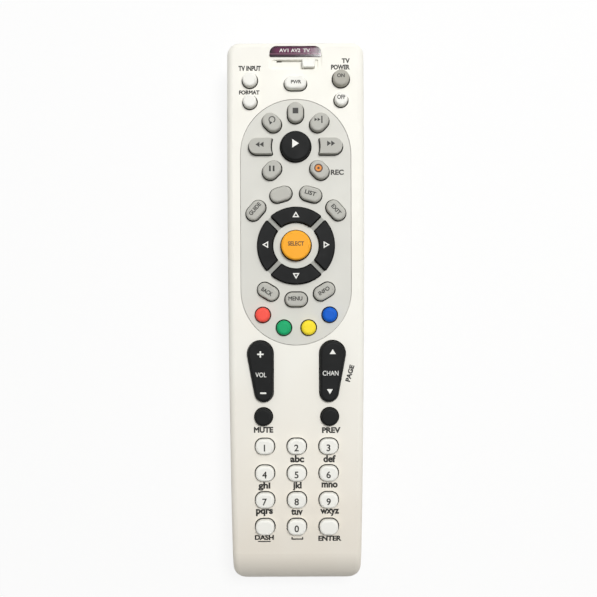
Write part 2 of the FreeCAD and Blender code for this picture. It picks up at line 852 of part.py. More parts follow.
def rocker_key(label, side):
    """A long key that tips about small side tabs at mid-length, with a plunger at each end."""
    body = new_body(label)
    draw = rocker_outline(side)
    cap = pad(body, draw, ZERO, flange_low, top + size.rocker_proud)
    fillet(body, cap, size.rocker_edge_radius, lies_at(top + size.rocker_proud))
    pivot_y = rocker_pivot_y()
    inner_x = size.rocker_foot_x - size.rocker_foot_radius - size.rocker_tab_reach
    outer_x = (size.rocker_head_x + size.rocker_head_radius + size.rocker_foot_x
               + size.rocker_foot_radius) / 2 + size.rocker_tab_reach
    tab_y = (pivot_y - size.rocker_tab_half_length, pivot_y + size.rocker_tab_half_length)

    def tab(sketch, grow):
        draw_polygon(sketch, rectangle(inner_x * side, outer_x * side, *tab_y))

    pad(body, tab, ZERO, flange_low, flange_top)
    middle_x = (size.rocker_head_x + size.rocker_foot_x) / 2 * side
    for end in (1, -1):
        end_y = pivot_y + size.rocker_plunger_offset * end

        def plunger(sketch, grow):
            draw_circle(sketch, size.key_plunger_radius, middle_x, end_y)

        pad(body, plunger, ZERO, sheet_top + size.key_plunger_gap, flange_low)
        sheet_holes.append(cylinder(f"{label}_sheet_hole", size.key_plunger_radius
                                    + size.sheet_hole_gap, middle_x, end_y, board_low, top))
    shell_holes.append(prism(f"{label}_hole", draw, size.key_gap, flange_top, above))
    keys.append(body)


def lower_keys():
    rocker_key("volume_key", -1)
    rocker_key("channel_key", 1)
    for label, side in (("mute_key", -1), ("previous_key", 1)):
        key(label, round_outline(size.mute_key_radius), size.mute_x * side, size.mute_y,
            size.menu_key_proud, shell_holes)


def number_keys():
    outline = rectangle_outline(size.number_key_width, size.number_key_height)
    rows = (("1", "2", "3"), ("4", "5", "6"), ("7", "8", "9"), ("dash", "0", "enter"))
    for row, names in enumerate(rows):
        for column, name in enumerate(names, -1):
            label = f"{name}_key" if name.isalpha() else f"number_{name}_key"
            key(label, outline, size.number_column_step * column,
                size.number_head_y - size.number_row_step * row, size.number_key_proud,
                shell_holes, corner=size.number_key_corner)


head_keys()
playback_keys()
direction_keys()
menu_keys()
lower_keys()
number_keys()


# Light grey key surround

def draw_stadium(sketch, grow):
    radius = size.panel_half_width + grow
    draw_hull(sketch, (ZERO, size.panel_tail_y, radius), (ZERO, size.panel_head_y, radius))


def stepped_stadium(label, grow, low, high):
    """The surround's plate on its smaller plug, or the stepped opening that takes them."""
    body = new_body(label)
    step = top - size.panel_ledge_thickness
    pad(body, draw_stadium, grow, step, high)
    pad(body, draw_stadium, as_size(grow) - size.panel_ledge, low, step)
    return body


panel_blank = stepped_stadium("panel_blank", ZERO, skin_low, top)
panel_opening = stepped_stadium("panel_opening", size.panel_seam, flange_top, above)
centre_panel = cut("centre_panel", panel_blank, gather("panel_key_holes", panel_holes))

# Infrared window: a labelled plate in the top and a lens in the head end, joined behind the wall

outer_form = housing_blank("outer_form", 0)
inner_form = housing_blank("inner_form", size.wall)
inner_head_y = half_length - size.wall


def window_plate(label, grow, low):
    corners = rectangle(-size.window_half_width - grow, size.window_half_width + grow,
                        size.window_tail_y - grow, size.window_head_y + grow)
    body = new_body(label)
    plate = pad(body, lambda sketch, amount: draw_polygon(sketch, corners), ZERO, low, above)
    middle = (size.window_tail_y.value + size.window_head_y.value) / 2
    head = fillet(body, plate, size.window_corner + grow,
                  lambda edge: is_vertical(edge) and edge.CenterOfMass.y > middle)
    fillet(body, head, size.window_low_corner + grow,
           lambda edge: is_vertical(edge) and edge.CenterOfMass.y < middle)
    return body


def lens_block(label, grow, y_low):
    return block(label, (-size.window_half_width - grow, size.window_half_width + grow),
                 (y_low, half_length + size.tool_reach), (size.lens_low - grow, size.lens_high + grow))


window_outside = common("window_outside", outer_form, fuse("window_shape", [
    window_plate("window_top", ZERO, top - size.window_thickness),
    lens_block("window_lens", ZERO, inner_head_y),
]))
window_neck = block("window_neck", (-size.neck_half_width, size.neck_half_width),
                    (inner_head_y - size.neck_thickness, inner_head_y),
                    (size.lens_low, top - size.window_thickness))
ir_window = fuse("ir_window", [window_outside, window_neck])

# Mode slider with the recess, slot and slit that it runs in

slot_floor = top - size.slot_depth
knob_y = (size.slot_tail_y + size.slot_head_y) / 2
slider_low_x = size.slider_rest_x - size.slider_travel


def centred_pad(body, x, y_middle, y, low, high):
    corners = rectangle(-x, x, y_middle - y, y_middle + y)
    return pad(body, lambda sketch, grow: draw_polygon(sketch, corners), ZERO, low, high)


def make_slider():
    body = new_body("mode_slider")
    foot_high = skin_low - size.slider_gap
    foot_low = foot_high - size.slider_foot_thickness
    knob_low = slot_floor + size.slider_gap
    knob_top = top + size.knob_proud
    stem = size.stem_thickness / 2
    knob = centred_pad(body, size.knob_width / 2, knob_y, size.knob_length / 2, knob_low, knob_top)
    rounded = fillet(body, knob, size.knob_edge_radius, is_vertical)
    fillet(body, rounded, size.knob_top_radius, lies_at(knob_top))
    centred_pad(body, size.stem_width / 2, size.slit_y, stem, foot_high, knob_low)
    centred_pad(body, size.slider_foot_width / 2, size.slit_y, size.slider_foot_length / 2,
                foot_low, foot_high)
    centred_pad(body, size.finger_width / 2, size.slit_y, stem,
                board_top + size.switch_height / 2, foot_low)
    place(body, size.slider_rest_x)
    return body


mode_slider = make_slider()
recess = polygon_prism("mode_recess", rectangle(
    -size.recess_half_width, size.recess_half_width, size.recess_tail_y,
    size.window_head_y - size.window_corner), top - size.recess_depth, above, size.recess_corner)
slot = polygon_prism("mode_slot", rectangle(
    -size.slot_half_width, size.slot_half_width, size.slot_tail_y, size.slot_head_y),
    slot_floor, above, size.slot_corner)
slit = block("mode_slit", (slider_low_x - size.stem_width / 2 - size.slider_gap,
                           size.slider_rest_x + size.stem_width / 2 + size.slider_gap),
             (size.slit_y - size.slit_width / 2, size.slit_y + size.slit_width / 2),
             (flange_top, above))
window_hole = window_plate("window_hole", size.window_gap, flange_top)
lens_hole = lens_block("lens_hole", size.window_gap, inner_head_y - size.neck_thickness)
head_openings = fuse("head_openings", [recess, slot, slit, window_hole])

switch_block = block("switch_block", (-size.switch_half_width, size.switch_half_width),
                     (size.slit_y - size.switch_length / 2, size.slit_y + size.switch_length / 2),
                     (board_top, board_top + size.switch_height))
finger_reach = size.finger_width / 2 + size.slider_gap * 2
finger_room = size.stem_thickness / 2 + size.slider_gap
switch_slot = block("switch_slot", (slider_low_x - finger_reach, size.slider_rest_x + finger_reach),
                    (size.slit_y - finger_room, size.slit_y + finger_room),
                    (board_top + size.switch_height / 2 - size.slider_gap, top))
slide_switch = cut("slide_switch", switch_block, switch_slot)

# Case screws and the four places where they go

screw_places = [((width - inset) * side, y)
                for width, inset, y in (
                    (size.head_half_width, size.post_head_inset, size.post_head_y),
                    (size.tail_half_width, size.post_tail_inset, size.post_tail_y))
                for side in (-1, 1)]


def at_posts(label, radius, low, high):
    """The same upright bar at each screw."""
    return [cylinder(label, radius, x, y, low, high) for x, y in screw_places]


def make_screws():
    screws = []
    head_low = screw_seat - size.screw_head_height
    for x, y in screw_places:
        head = cylinder("screw_head", size.screw_head_radius, x, y, head_low, screw_seat)
        shank = cylinder("screw_shank", size.screw_radius, x, y, screw_seat, screw_tip)
        long_arm = size.recess_arm_length / 2
        short_arm = size.recess_arm_width / 2
        arms = [block("screw_recess_arm", (x - reach, x + reach), (y - width, y + width),
                      (head_low - size.screw_head_height, head_low + size.recess_arm_depth))
                for reach, width in ((long_arm, short_arm), (short_arm, long_arm))]
        screws.append(cut("case_screw", fuse("screw_blank", [head, shank]),
                          fuse("screw_recess", arms)))
    return gather("case_screws", screws)


case_screws = make_screws()

# Front shell

split = size.split_height


def layer(label, low, high):
    """A slab wider than the housing, used to take one level range of a form."""
    return block(label, (-far_x, far_x), (-size.housing_length, size.housing_length), (low, high))


front_solid = common("front_solid", outer_form, layer("front_layer", split + size.split_seam, above))
lip_room = common("lip_room", housing_blank("lip_room_form", size.wall - size.lip_wall
                                            - size.lip_gap),
                  layer("lip_room_layer", split, split + size.lip_height + size.lip_gap))
front_hollow = cut("front_hollow", cut("front_walls", front_solid, inner_form), lip_room)
front_posts = fuse("front_with_posts", [front_hollow] + at_posts(
    "upper_post", size.upper_post_radius, board_top + size.post_gap, skin_low + size.post_sink))
pilot_holes = at_posts("pilot_hole", size.screw_radius, split, screw_tip + size.screw_hole_gap)
front_openings = gather("front_openings", shell_holes + pilot_holes
                        + [panel_opening, head_openings, lens_hole])
front_shell = cut("front_shell", front_posts, front_openings)

# Rear shell with its battery bay, and the door that closes it

door_tail_y = -half_length - size.tool_reach


def rear_blank():
    solid = common("rear_solid", outer_form, layer("rear_layer", below, split))
    lip = common("rear_lip", housing_blank("lip_form", size.wall - size.lip_wall),
                 layer("lip_layer", split - size.wall, split + size.lip_height))
    return cut("rear_walls", fuse("rear_with_lip", [solid, lip]), inner_form)


def rear_additions():
    tray = block("bay_box", (-bay_outer_x, bay_outer_x),
                 (bay_tail_y - size.bay_wall, size.bay_head_y + size.bay_wall),
                 (size.wall, bay_roof_low + size.bay_wall))
    cover_x = rail_x + size.rail_cover_reach
    cover = block("rail_cover", (-cover_x, cover_x),
                  (-half_length + size.wall - size.rail_cover_sink,
                   size.door_head_y + size.rail_cover_reach),
                  (size.wall, size.wall + size.rail_cover_thickness))
    posts = at_posts("lower_post", size.post_radius, size.wall - size.post_sink,
                     board_low - size.post_gap)
    return [tray, cover] + posts


def rear_openings():
    gap = size.door_gap
    bay = block("bay_room", (-bay_half_width, bay_half_width),
                (bay_tail_y, size.bay_head_y), (size.wall - size.bay_floor_sink, bay_roof_low))
    doorway = block("doorway", (-door_half_width - gap, door_half_width + gap),
                    (door_tail_y, size.door_head_y + gap), (below, size.door_thickness + gap))
    grooves = block("rail_grooves", (-rail_x - gap, rail_x + gap),
                    (door_tail_y, size.door_head_y + gap),
                    (size.door_rail_low - gap, size.door_thickness + gap))
    open_bay = fuse("open_bay", [bay, doorway, grooves])
    seats = at_posts("screw_seat", size.screw_head_radius + size.screw_hole_gap, below,
                     screw_seat)
    holes = at_posts("screw_hole", size.screw_radius + size.screw_hole_gap,
                     screw_seat, top)
    bores = [fuse("screw_bore", [seat, hole]) for seat, hole in zip(seats, holes)]
    return gather("rear_openings", [open_bay] + bores)


rear_shell = cut("rear_shell", fuse("rear_with_bay", [rear_blank()] + rear_additions()),
                 rear_openings())


def make_door():
    skin = block("door_skin_block", (-door_half_width, door_half_width),
                 (door_tail_y, size.door_head_y), (below, size.door_thickness))
    rails = block("door_rail_block", (-rail_x, rail_x), (door_tail_y, size.door_head_y),
                  (size.door_rail_low, size.door_thickness))
    blank = common("door_blank", outer_form, fuse("door_blocks", [skin, rails]))
    grips = []
    for index in range(int(size.grip_count.value)):
        groove = document.addObject("Part::Cylinder", "grip_groove")
        bind(groove, "Radius", size.grip_radius)
        bind(groove, "Height", size.grip_half_length * 2)
        place(groove, -size.grip_half_length,
              size.door_head_y - size.grip_head_offset - size.grip_step * index,
              ZERO, as_size(90), "0; 1; 0")
        grips.append(groove)
    return cut("battery_door", blank, gather("door_grips", grips))


battery_door = make_door()

# Cells and their contacts

cell_z = size.cell_low + size.cell_radius
contact_face_head = size.bay_head_y - size.contact_thickness
contact_face_tail = bay_tail_y + size.contact_thickness
spring_length = size.spring_room - size.contact_thickness * 2


def make_cells():
    cells = []
    for side in (-1, 1):
        x = cell_x * side
        if side < 0:
            can_high = contact_face_head - size.cell_nub_length
            can_low = can_high - size.cell_length
            nub = (can_high, contact_face_head)
        else:
            can_low = contact_face_tail + size.cell_nub_length
            can_high = can_low + size.cell_length
            nub = (contact_face_tail, can_low)
        can = lying_cylinder("cell_can", size.cell_radius, x, can_low, can_high, cell_z)
        tip = lying_cylinder("cell_nub", size.cell_nub_radius, x, nub[0], nub[1], cell_z)
        cells.append(fuse("cell", [can, tip]))
    return gather("batteries", cells)


def contact_spring(label, x, y, angle):
    """An even coil from the contact plate to the flat end of a cell."""
    run = spring_length - size.spring_wire_radius * 2
    coil = document.addObject("Part::Helix", f"{label}_path")
    bind(coil, "Radius", size.spring_base_radius)
    bind(coil, "Height", run)
    bind(coil, "Pitch", run / size.spring_turns)
    coil.SegmentLength = TURNS_PER_FACE
    document.recompute()
    turns = [f"Edge{index + 1}" for index in range(len(coil.Shape.Edges))]
    wire = document.addObject("Part::Circle", f"{label}_wire")
    bind(wire, "Radius", size.spring_wire_radius)
    place(wire, size.spring_base_radius, ZERO, ZERO, as_size(90), "1; 0; 0")
    spring = document.addObject("Part::Sweep", label)
    spring.Sections = [wire]
    spring.Spine = (coil, turns)
    spring.Solid = True
    spring.Frenet = True
    place(spring, x, y, cell_z, as_size(angle), "1; 0; 0")
    return spring


def make_contacts():
    half = size.contact_width / 2
    left, right = -cell_x, cell_x
    heights = (size.contact_low, size.contact_high)
    plates = [block("head_plate", (left - half, right + half),
                    (contact_face_head, size.bay_head_y), heights)]
    for x in (left, right):
        plates.append(block("tail_plate", (x - half, x + half),
                            (bay_tail_y, contact_face_tail), heights))
    springs = [
        contact_spring("tail_spring", left, contact_face_tail + size.spring_wire_radius, -90),
        contact_spring("head_spring", right, contact_face_head - size.spring_wire_radius, 90),
    ]
    return gather("battery_contacts", plates + springs)


batteries = make_cells()
battery_contacts = make_contacts()

# Circuit board, key sheet and electronics


def following_sides(side_gap, tail_y, head_y):
    """A plate outline that narrows towards the tail with the housing, clear of its side walls."""
    tail_x = size.tail_half_width - size.wall - side_gap
    head_x = size.head_half_width - size.wall - side_gap
    return [(-tail_x, tail_y), (tail_x, tail_y), (head_x, head_y), (-head_x, head_y)]


board_blank = polygon_prism("board_blank", following_sides(
    size.board_side_gap, size.board_tail_y, size.board_head_y),
    board_low, board_top, size.board_corner)
board_holes = at_posts("board_hole", size.screw_radius + size.screw_hole_gap, split, top)
circuit_board = cut("circuit_board", board_blank, gather("board_holes", board_holes))

sheet_blank = polygon_prism("sheet_blank", following_sides(
    size.sheet_side_gap, size.sheet_tail_y, size.sheet_head_y),
    board_top, sheet_top, size.board_corner)
keypad_sheet = cut("keypad_sheet", sheet_blank, gather("sheet_plunger_holes", sheet_holes))


def make_chip():
    low = board_low - size.chip_thickness
    half_x = size.chip_width / 2
    half_y = size.chip_length / 2
    body = block("chip_body", (-half_x, half_x), (size.chip_y - half_y, size.chip_y + half_y),
                 (low, board_low))
    count = int(size.chip_lead_count.value)
    step = size.chip_length / count
    leads = []
    for index in range(count):
        y = size.chip_y - half_y + step * (index + 0.5)
        leads.append(block("chip_leads", (-half_x - size.chip_lead_reach,
                                          half_x + size.chip_lead_reach),
                           (y - step / 4, y + step / 4),
                           (board_low - size.chip_thickness / 4, board_low)))
    return fuse("controller_chip", [body] + leads)


def make_leds():
    leds = []
    body_low = size.led_head_y - size.led_body_length - size.led_radius
    lead_y = body_low - size.led_body_length
    for side in (-1, 1):
        x = size.led_x * side
        barrel = lying_cylinder("led_barrel", size.led_radius, x, body_low,
                                size.led_head_y - size.led_radius, size.led_z)
        dome = document.addObject("Part::Sphere", "led_dome")
        bind(dome, "Radius", size.led_radius)
        place(dome, x, size.led_head_y - size.led_radius, size.led_z)
        collar = lying_cylinder("led_collar", size.led_collar_radius, x, body_low,
                                body_low + size.led_collar_length, size.led_z)
        pieces = [barrel, dome, collar]
        for lead_side in (-1, 1):
            lead_x = x + size.led_radius / 2 * lead_side
            pieces.append(lying_cylinder("led_lead", size.led_lead_radius, lead_x, lead_y,
                                         body_low, size.led_z))
            pieces.append(cylinder("led_leg", size.led_lead_radius, lead_x, lead_y,
                                   size.led_z, board_low))
        leds.append(fuse("led", pieces))
    return gather("ir_leds", leds)


def make_small_components():
    can = cylinder("capacitor", size.can_radius, size.can_x, size.can_y,
                   board_low - size.can_length, board_low)
    crystal = block("crystal", (size.crystal_x - size.crystal_width / 2,
                                size.crystal_x + size.crystal_width / 2),
                    (size.crystal_y - size.crystal_length / 2,
                     size.crystal_y + size.crystal_length / 2),
                    (board_low - size.crystal_height, board_low))
    pieces = [can, crystal]
    half_x = size.resistor_length / 2
    half_y = size.resistor_width / 2
    for index in range(int(size.resistor_count.value)):
        y = size.resistor_head_y - size.resistor_step * index
        pieces.append(block("resistor", (-size.resistor_x - half_x, -size.resistor_x + half_x),
                            (y - half_y, y + half_y), (board_low - size.resistor_height, board_low)))
    return gather("small_components", pieces)


controller_chip = make_chip()
ir_leds = make_leds()
small_components = make_small_components()


# Check every object and write one file for each sub-part

sub_parts = keys + [
    front_shell, rear_shell, battery_door, centre_panel, ir_window, mode_slider, slide_switch,
    keypad_sheet, circuit_board, controller_chip, small_components, ir_leds, batteries,
    battery_contacts, case_screws,
]


def main():
    document.recompute()
    failed = [item.Label for item in document.Objects
              if "Invalid" in item.State or "Error" in item.State]
    if failed:
        raise RuntimeError(f"These objects failed: {failed}")
    for part in sub_parts:
        if part.Shape.isNull() or not part.Shape.isValid():
            raise RuntimeError(f"{part.Label} has no valid shape")
    os.makedirs("parts", exist_ok=True)
    for part in sub_parts:
        part.Shape.exportStep(f"parts/{part.Label}.step")
    whole = Part.makeCompound([part.Shape for part in sub_parts])
    box = whole.BoundBox
    print(f"{len(sub_parts)} sub-parts, {box.XLength:.2f} by {box.YLength:.2f} by {box.ZLength:.2f}")
    print(f"from {box.XMin:.2f}, {box.YMin:.2f}, {box.ZMin:.2f}")


main()
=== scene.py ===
"""Finishes, print and studio for a hand-held remote control with keys, rockers and a direction ring."""
import math

import bmesh
import bpy
from bpy.props import FloatProperty, FloatVectorProperty, PointerProperty
from bpy.types import Operator, Panel, PropertyGroup
from mathutils import Matrix, Vector
from mathutils.bvhtree import BVHTree


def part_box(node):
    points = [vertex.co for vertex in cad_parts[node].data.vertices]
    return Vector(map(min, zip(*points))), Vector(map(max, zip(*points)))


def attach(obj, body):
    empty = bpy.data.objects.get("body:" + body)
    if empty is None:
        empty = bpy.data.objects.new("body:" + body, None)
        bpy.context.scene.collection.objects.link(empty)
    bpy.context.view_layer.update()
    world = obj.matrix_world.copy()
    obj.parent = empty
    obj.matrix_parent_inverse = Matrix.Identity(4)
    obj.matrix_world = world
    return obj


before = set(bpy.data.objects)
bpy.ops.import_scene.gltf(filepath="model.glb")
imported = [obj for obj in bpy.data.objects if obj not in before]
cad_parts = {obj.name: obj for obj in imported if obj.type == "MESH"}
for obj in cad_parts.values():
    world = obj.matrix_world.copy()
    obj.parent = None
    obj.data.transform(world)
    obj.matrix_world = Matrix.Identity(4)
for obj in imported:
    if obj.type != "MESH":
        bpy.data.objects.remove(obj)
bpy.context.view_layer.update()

bl_info = {
    "name": "Remote control finish",
    "version": (1, 0, 0),
    "blender": (4, 5, 0),
    "location": "3D View > Sidebar > Remote",
    "description": "Dresses the remote control with moulded plastics, key print and a studio",
    "category": "Object",
}

# One millimetre in Blender's unit, the metre; what follows is in millimetres where nothing else is said
MM = 0.001


def middle_of(node):
    """The point over the middle of a node, in millimetres."""
    low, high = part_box(node)
    return (low.x + high.x) / 2 / MM, (low.y + high.y) / 2 / MM


# Places taken from the frame
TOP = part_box("front_shell")[1].z / MM
RING_CENTRE = middle_of("select_key")
CELLS_LOW, CELLS_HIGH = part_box("batteries")
CELL_RADIUS = 7.25
CELL_ACROSS = CELLS_HIGH.x / MM - CELL_RADIUS
CELL_HEIGHT = (CELLS_LOW.z + CELLS_HIGH.z) / 2 / MM

# How far under the top the painted shade in the gaps round the keys begins and ends; it stands for the
# shade that falls into these narrow gaps
CAP_GAP_SHADE = (0.1, 3.0)
SHELL_GAP_SHADE = (1.2, 1.75)
PANEL_GAP_SHADE = (0.4, 1.75)
GAP_SHADE_SOFTNESS = 0.2

# Half the width and half the length of the part of the shell that has keys in it
KEYED_HALF_WIDTH = 23.0
KEYED_HALF_LENGTH = 99.5

# From the middle towards the tail, the stretch over which painted shade makes the shell's white darker
# and warmer
TAIL_SHADE_LENGTH = 111.0

# Radii of the darker grey on the cross and of the pale collar round the select key
SPOKES_RADIUS = 15.6
COLLAR_RADIUS = 9.3
EDGE_SOFTNESS = 0.15

# The window's words and its plum band lie on one line, and the painted reflection line is nearer to
# the tail; each fades out over twice its softness
WINDOW_LINE = 108.0
BAND_HALF_WIDTH = 8.8
BAND_SIDE_SOFTNESS = 1.2
BAND_HALF_HEIGHT = 1.2
BAND_EDGE_SOFTNESS = 0.9
WINDOW_GLINT = 106.6
GLINT_HALF_HEIGHT = 0.14
GLINT_SOFTNESS = 0.08

# Radius of the bare steel at a cell's ends, and the pale band round both cells
CELL_BARE_RADIUS = 6.6
CELL_BAND_MIDDLE = -65.4
CELL_BAND_HALF = 14.0
CELL_SOFTNESS = 0.1

# Range that most of the noise lies in
NOISE_LOW = 0.3
NOISE_HIGH = 0.7

# The mix node has its sockets once for every kind of data, so the colour ones go by number
MIX_AMOUNT = 0
MIX_UNDER = 6
MIX_OVER = 7
MIX_RESULT = 2

WHITE = (1.0, 1.0, 1.0, 1.0)
CIRCLE_SIDES = 40
ARC_STEPS = 28

# Rays that look for the surface under a print start this high; points this close are one; in metres
ABOVE = 1.0
SAME_POINT = 1e-7
DOWN = Vector((0.0, 0.0, -1.0))

# The floor lies this far under the remote, so that the two faces never share a height
FLOOR_DROP = 0.1

# Width of the camera's sensor
SENSOR = 36.0

# Place and width of each round soft lamp, in metres
KEY_LAMP = ((0.18, 0.31, 0.9), 0.34)
FILL_LAMP = ((0.35, -0.5, 0.7), 0.7)


def colour(code):
    """Turns an sRGB hex code into linear red, green and blue."""
    parts = [int(code[i:i + 2], 16) / 255 for i in (0, 2, 4)]
    return tuple(p / 12.92 if p <= 0.04045 else ((p + 0.055) / 1.055) ** 2.4 for p in parts)


def opaque(rgb):
    """A colour with full opacity, as the shader sockets take it."""
    return (*rgb, 1.0)


def paint(name, description, code):
    """A colour property whose default is an sRGB hex code."""
    return FloatVectorProperty(
        name=name, description=description, subtype="COLOR", size=3, min=0, max=1, default=colour(code)
    )


def length(name, description, millimetres):
    """A length property whose default is given in millimetres."""
    return FloatProperty(
        name=name, description=description, unit="LENGTH", precision=5, default=millimetres * MM
    )


class PlasticColours(PropertyGroup):
    """Colours of the moulded parts."""

    shell: paint("Shell", "White of the two housing shells and the battery door", "f3f1e8")
    # painted shade: a darker, warmer white laid over the shell towards the tail, where less light falls
    handled: paint("Shaded shell", "Warmer white of the shell at the tail, where it is held", "ebe4d7")
    # painted shade: the dark laid on the walls of the narrow gaps round the keys
    gaps: paint("Gaps", "Dark of the narrow gaps round the keys", "1d1c1a")
    panel: paint("Panel", "Light grey of the oval key surround", "d8d7cf")
    spokes: paint("Spokes", "Grey of the cross between the four direction keys", "a6a7a0")
    collar: paint("Collar", "Pale ring round the select key", "d8dad2")
    white_key: paint("White keys", "Number, dash and enter keys, keys at the head and slider", "f2f1ea")
    pale_grey_key: paint("Pale grey key", "Television on key", "aeaba1")
    grey_key: paint("Grey keys", "Playback and menu keys", "bbbab2")
    black_key: paint("Black keys", "Play, direction, rocker, mute and previous keys", "1b1c1c")
    select_key: paint("Select key", "Orange of the middle key", "fbae2e")
    red_key: paint("Red key", "First colour key", "fa5a4d")
    green_key: paint("Green key", "Second colour key", "1ba96c")
    yellow_key: paint("Yellow key", "Third colour key", "fce336")
    blue_key: paint("Blue key", "Fourth colour key", "0b5fcd")
    window: paint("Window", "Edge of the infrared window", "2a0f20")
    window_band: paint("Window band", "Plum band printed behind the window", "641f49")
    # painted reflection: a thin light line laid along the window
    window_ridge: paint("Window ridge", "Thin light line along the window", "8a5a70")
    silicone: paint("Keypad rubber", "Translucent grey of the rubber sheet", "bdbdb6")


class InkColours(PropertyGroup):
    """Colours of the print."""

    dark: paint("Dark ink", "Print on the shell, on the panel and on pale keys", "2c2b27")
    pale: paint("Pale ink", "Print on black keys and on the window", "efefe9")
    record: paint("Record ink", "Orange ring on the record key", "e08a2c")
    brown: paint("Brown ink", "Word on the select key, rim and dot on the record key", "54371f")


class PrintSizes(PropertyGroup):
    """Sizes of the print."""

    ink: length("Ink thickness", "Thickness of the print layer", 0.045)
    sink: length("Ink bite", "How far the print reaches into the surface under it", 0.02)
    digit: length("Digit height", "Height of the digits on the number keys", 2.6)
    letters: length("Letter height", "Height of a capital in the letter groups under the digits", 2.6)
    tucked: length("Tucked letter height", "The same where tall strokes and tails meet two keys", 2.4)
    key_word: length("Key word height", "Height of the capitals on the menu keys", 1.55)


class StudioSizes(PropertyGroup):
    """Camera, floor, lamps and the room's light."""

    height: length("Camera height", "Height of the camera above the table", 320)
    foot_x: length("Camera foot X", "Point under the camera, across the remote", 0.95)
    foot_y: length("Camera foot Y", "Point under the camera, along the remote", 6.48)
    lens: FloatProperty(
        name="Lens", description="Focal length on a 36 mm sensor, in millimetres",
        min=10, max=200, default=43.417
    )
    roll: FloatProperty(
        name="Roll", description="Turn of the camera about its own line of sight",
        subtype="ANGLE", default=math.radians(-0.21)
    )
    floor: length("Floor size", "Half the side of the square floor", 1500)
    key_lamp: FloatProperty(
        name="Key lamp", description="Power of the soft lamp over the head's right side",
        unit="POWER", default=6.5
    )
    fill_lamp: FloatProperty(
        name="Fill lamp", description="Power of the wide soft lamp beyond the tail",
        unit="POWER", default=0.08
    )
    head_room: FloatProperty(
        name="Room light at the head", description="Strength of the room's light from the head's side",
        min=0, max=4, default=0.6
    )
    tail_room: FloatProperty(
        name="Room light at the tail", description="Strength of the room's light from the tail's side",
        min=0, max=4, default=0.06
    )
    floor_glow: FloatProperty(
        name="Floor whiteness", description="Share of plain white that the camera sees in the floor",
        min=0, max=1, default=0.85
    )


# Parts of a finish


def add(tree, kind, sockets=None, **settings):
    """Adds a shader node with its settings; a socket takes a value or another node's output."""
    made = tree.nodes.new(kind)
    for name, value in settings.items():
        setattr(made, name, value)
    for socket, value in (sockets or {}).items():
        if isinstance(value, bpy.types.NodeSocket):
            tree.links.new(value, made.inputs[socket])
        else:
            made.inputs[socket].default_value = value
    return made


def blank_material(name, **shader):
    """A material with an empty principled shader; its keywords are the shader's plain values."""
    material = bpy.data.materials.new(name)
    material.use_nodes = True
    tree = material.node_tree
    tree.nodes.clear()
    surface = add(tree, "ShaderNodeBsdfPrincipled")
    for socket, value in shader.items():
        surface.inputs[socket.replace("_", " ")].default_value = value
    add(tree, "ShaderNodeOutputMaterial", {"Surface": surface.outputs["BSDF"]})
    return material, tree, surface


def noise(tree, size, detail=2.0):
    """Noise whose blotches are about size millimetres across, the same in every direction."""
    place = add(tree, "ShaderNodeTexCoord").outputs["Object"]
    return add(
        tree, "ShaderNodeTexNoise", {"Vector": place, "Scale": 1 / (size * MM), "Detail": detail}
    ).outputs["Fac"]


def speckle(tree, size, low, high, detail=2.0):
    """A value that wanders between low and high in blotches of size millimetres."""
    return add(
        tree, "ShaderNodeMapRange",
        {"Value": noise(tree, size, detail), "From Min": NOISE_LOW, "From Max": NOISE_HIGH,
         "To Min": low, "To Max": high},
    ).outputs["Result"]


def shade(rgb, factor):
    """The same colour, darker or lighter by a factor."""
    return opaque(tuple(min(1.0, part * factor) for part in rgb))


def lay_over(tree, surface, amount, over):
    """Mixes a colour over the base colour that is there, by an amount from zero to one."""
    base = surface.inputs["Base Color"]
    under = base.links[0].from_socket if base.is_linked else tuple(base.default_value)
    mixed = add(
        tree, "ShaderNodeMix", {MIX_AMOUNT: amount, MIX_UNDER: under, MIX_OVER: over},
        data_type="RGBA", clamp_factor=True,
    )
    tree.links.new(mixed.outputs[MIX_RESULT], base)


def cloud(tree, surface, size, first, second, detail=2.0):
    """Lets the base colour wander between two colours in blotches of size millimetres."""
    surface.inputs["Base Color"].default_value = first
    lay_over(tree, surface, speckle(tree, size, 0.0, 1.0, detail), second)


def polish(tree, surface, size, low, high, detail=2.0):
    """Lets the roughness wander between low and high in blotches of size millimetres."""
    tree.links.new(speckle(tree, size, low, high, detail), surface.inputs["Roughness"])


def grain(tree, surface, size, depth):
    """A fine grain: blotches of size millimetres standing depth millimetres proud."""
    bump = add(
        tree, "ShaderNodeBump",
        {"Height": noise(tree, size), "Strength": 1.0, "Distance": depth * MM},
    )
    tree.links.new(bump.outputs["Normal"], surface.inputs["Normal"])


def coordinates(tree):
    """The X, Y and Z of the surface in the frame, in metres."""
    place = add(tree, "ShaderNodeTexCoord").outputs["Object"]
    return add(tree, "ShaderNodeSeparateXYZ", {"Vector": place}).outputs


def inside(tree, distance, limit, soft):
    """One where a distance in metres is under limit millimetres, zero past it, with a soft edge."""
    return add(
        tree, "ShaderNodeMapRange",
        {"Value": distance, "From Min": (limit - soft) * MM, "From Max": (limit + soft) * MM,
         "To Min": 1.0, "To Max": 0.0},
    ).outputs["Result"]


def region(tree, *sides):
    """One inside every side and zero outside, each an axis, its middle, its reach and its softness."""
    amount = 1.0
    for axis, middle, reach, soft in sides:
        offset = add(
            tree, "ShaderNodeMath", {0: coordinates(tree)[axis], 1: -middle * MM}, operation="ADD"
        ).outputs[0]
        distance = add(tree, "ShaderNodeMath", {0: offset}, operation="ABSOLUTE").outputs[0]
        amount = add(
            tree, "ShaderNodeMath", {0: amount, 1: inside(tree, distance, reach, soft)},
            operation="MULTIPLY",
        ).outputs[0]
    return amount


def round_region(tree, across, along, centre, radius, soft):
    """One within radius of a point in the plane of two coordinates, zero past it."""
    flat = add(tree, "ShaderNodeCombineXYZ", {"X": across, "Y": along}).outputs["Vector"]
    point = (centre[0] * MM, centre[1] * MM, 0.0)
    distance = add(tree, "ShaderNodeVectorMath", {0: flat, 1: point}, operation="DISTANCE")
    return inside(tree, distance.outputs["Value"], radius, soft)


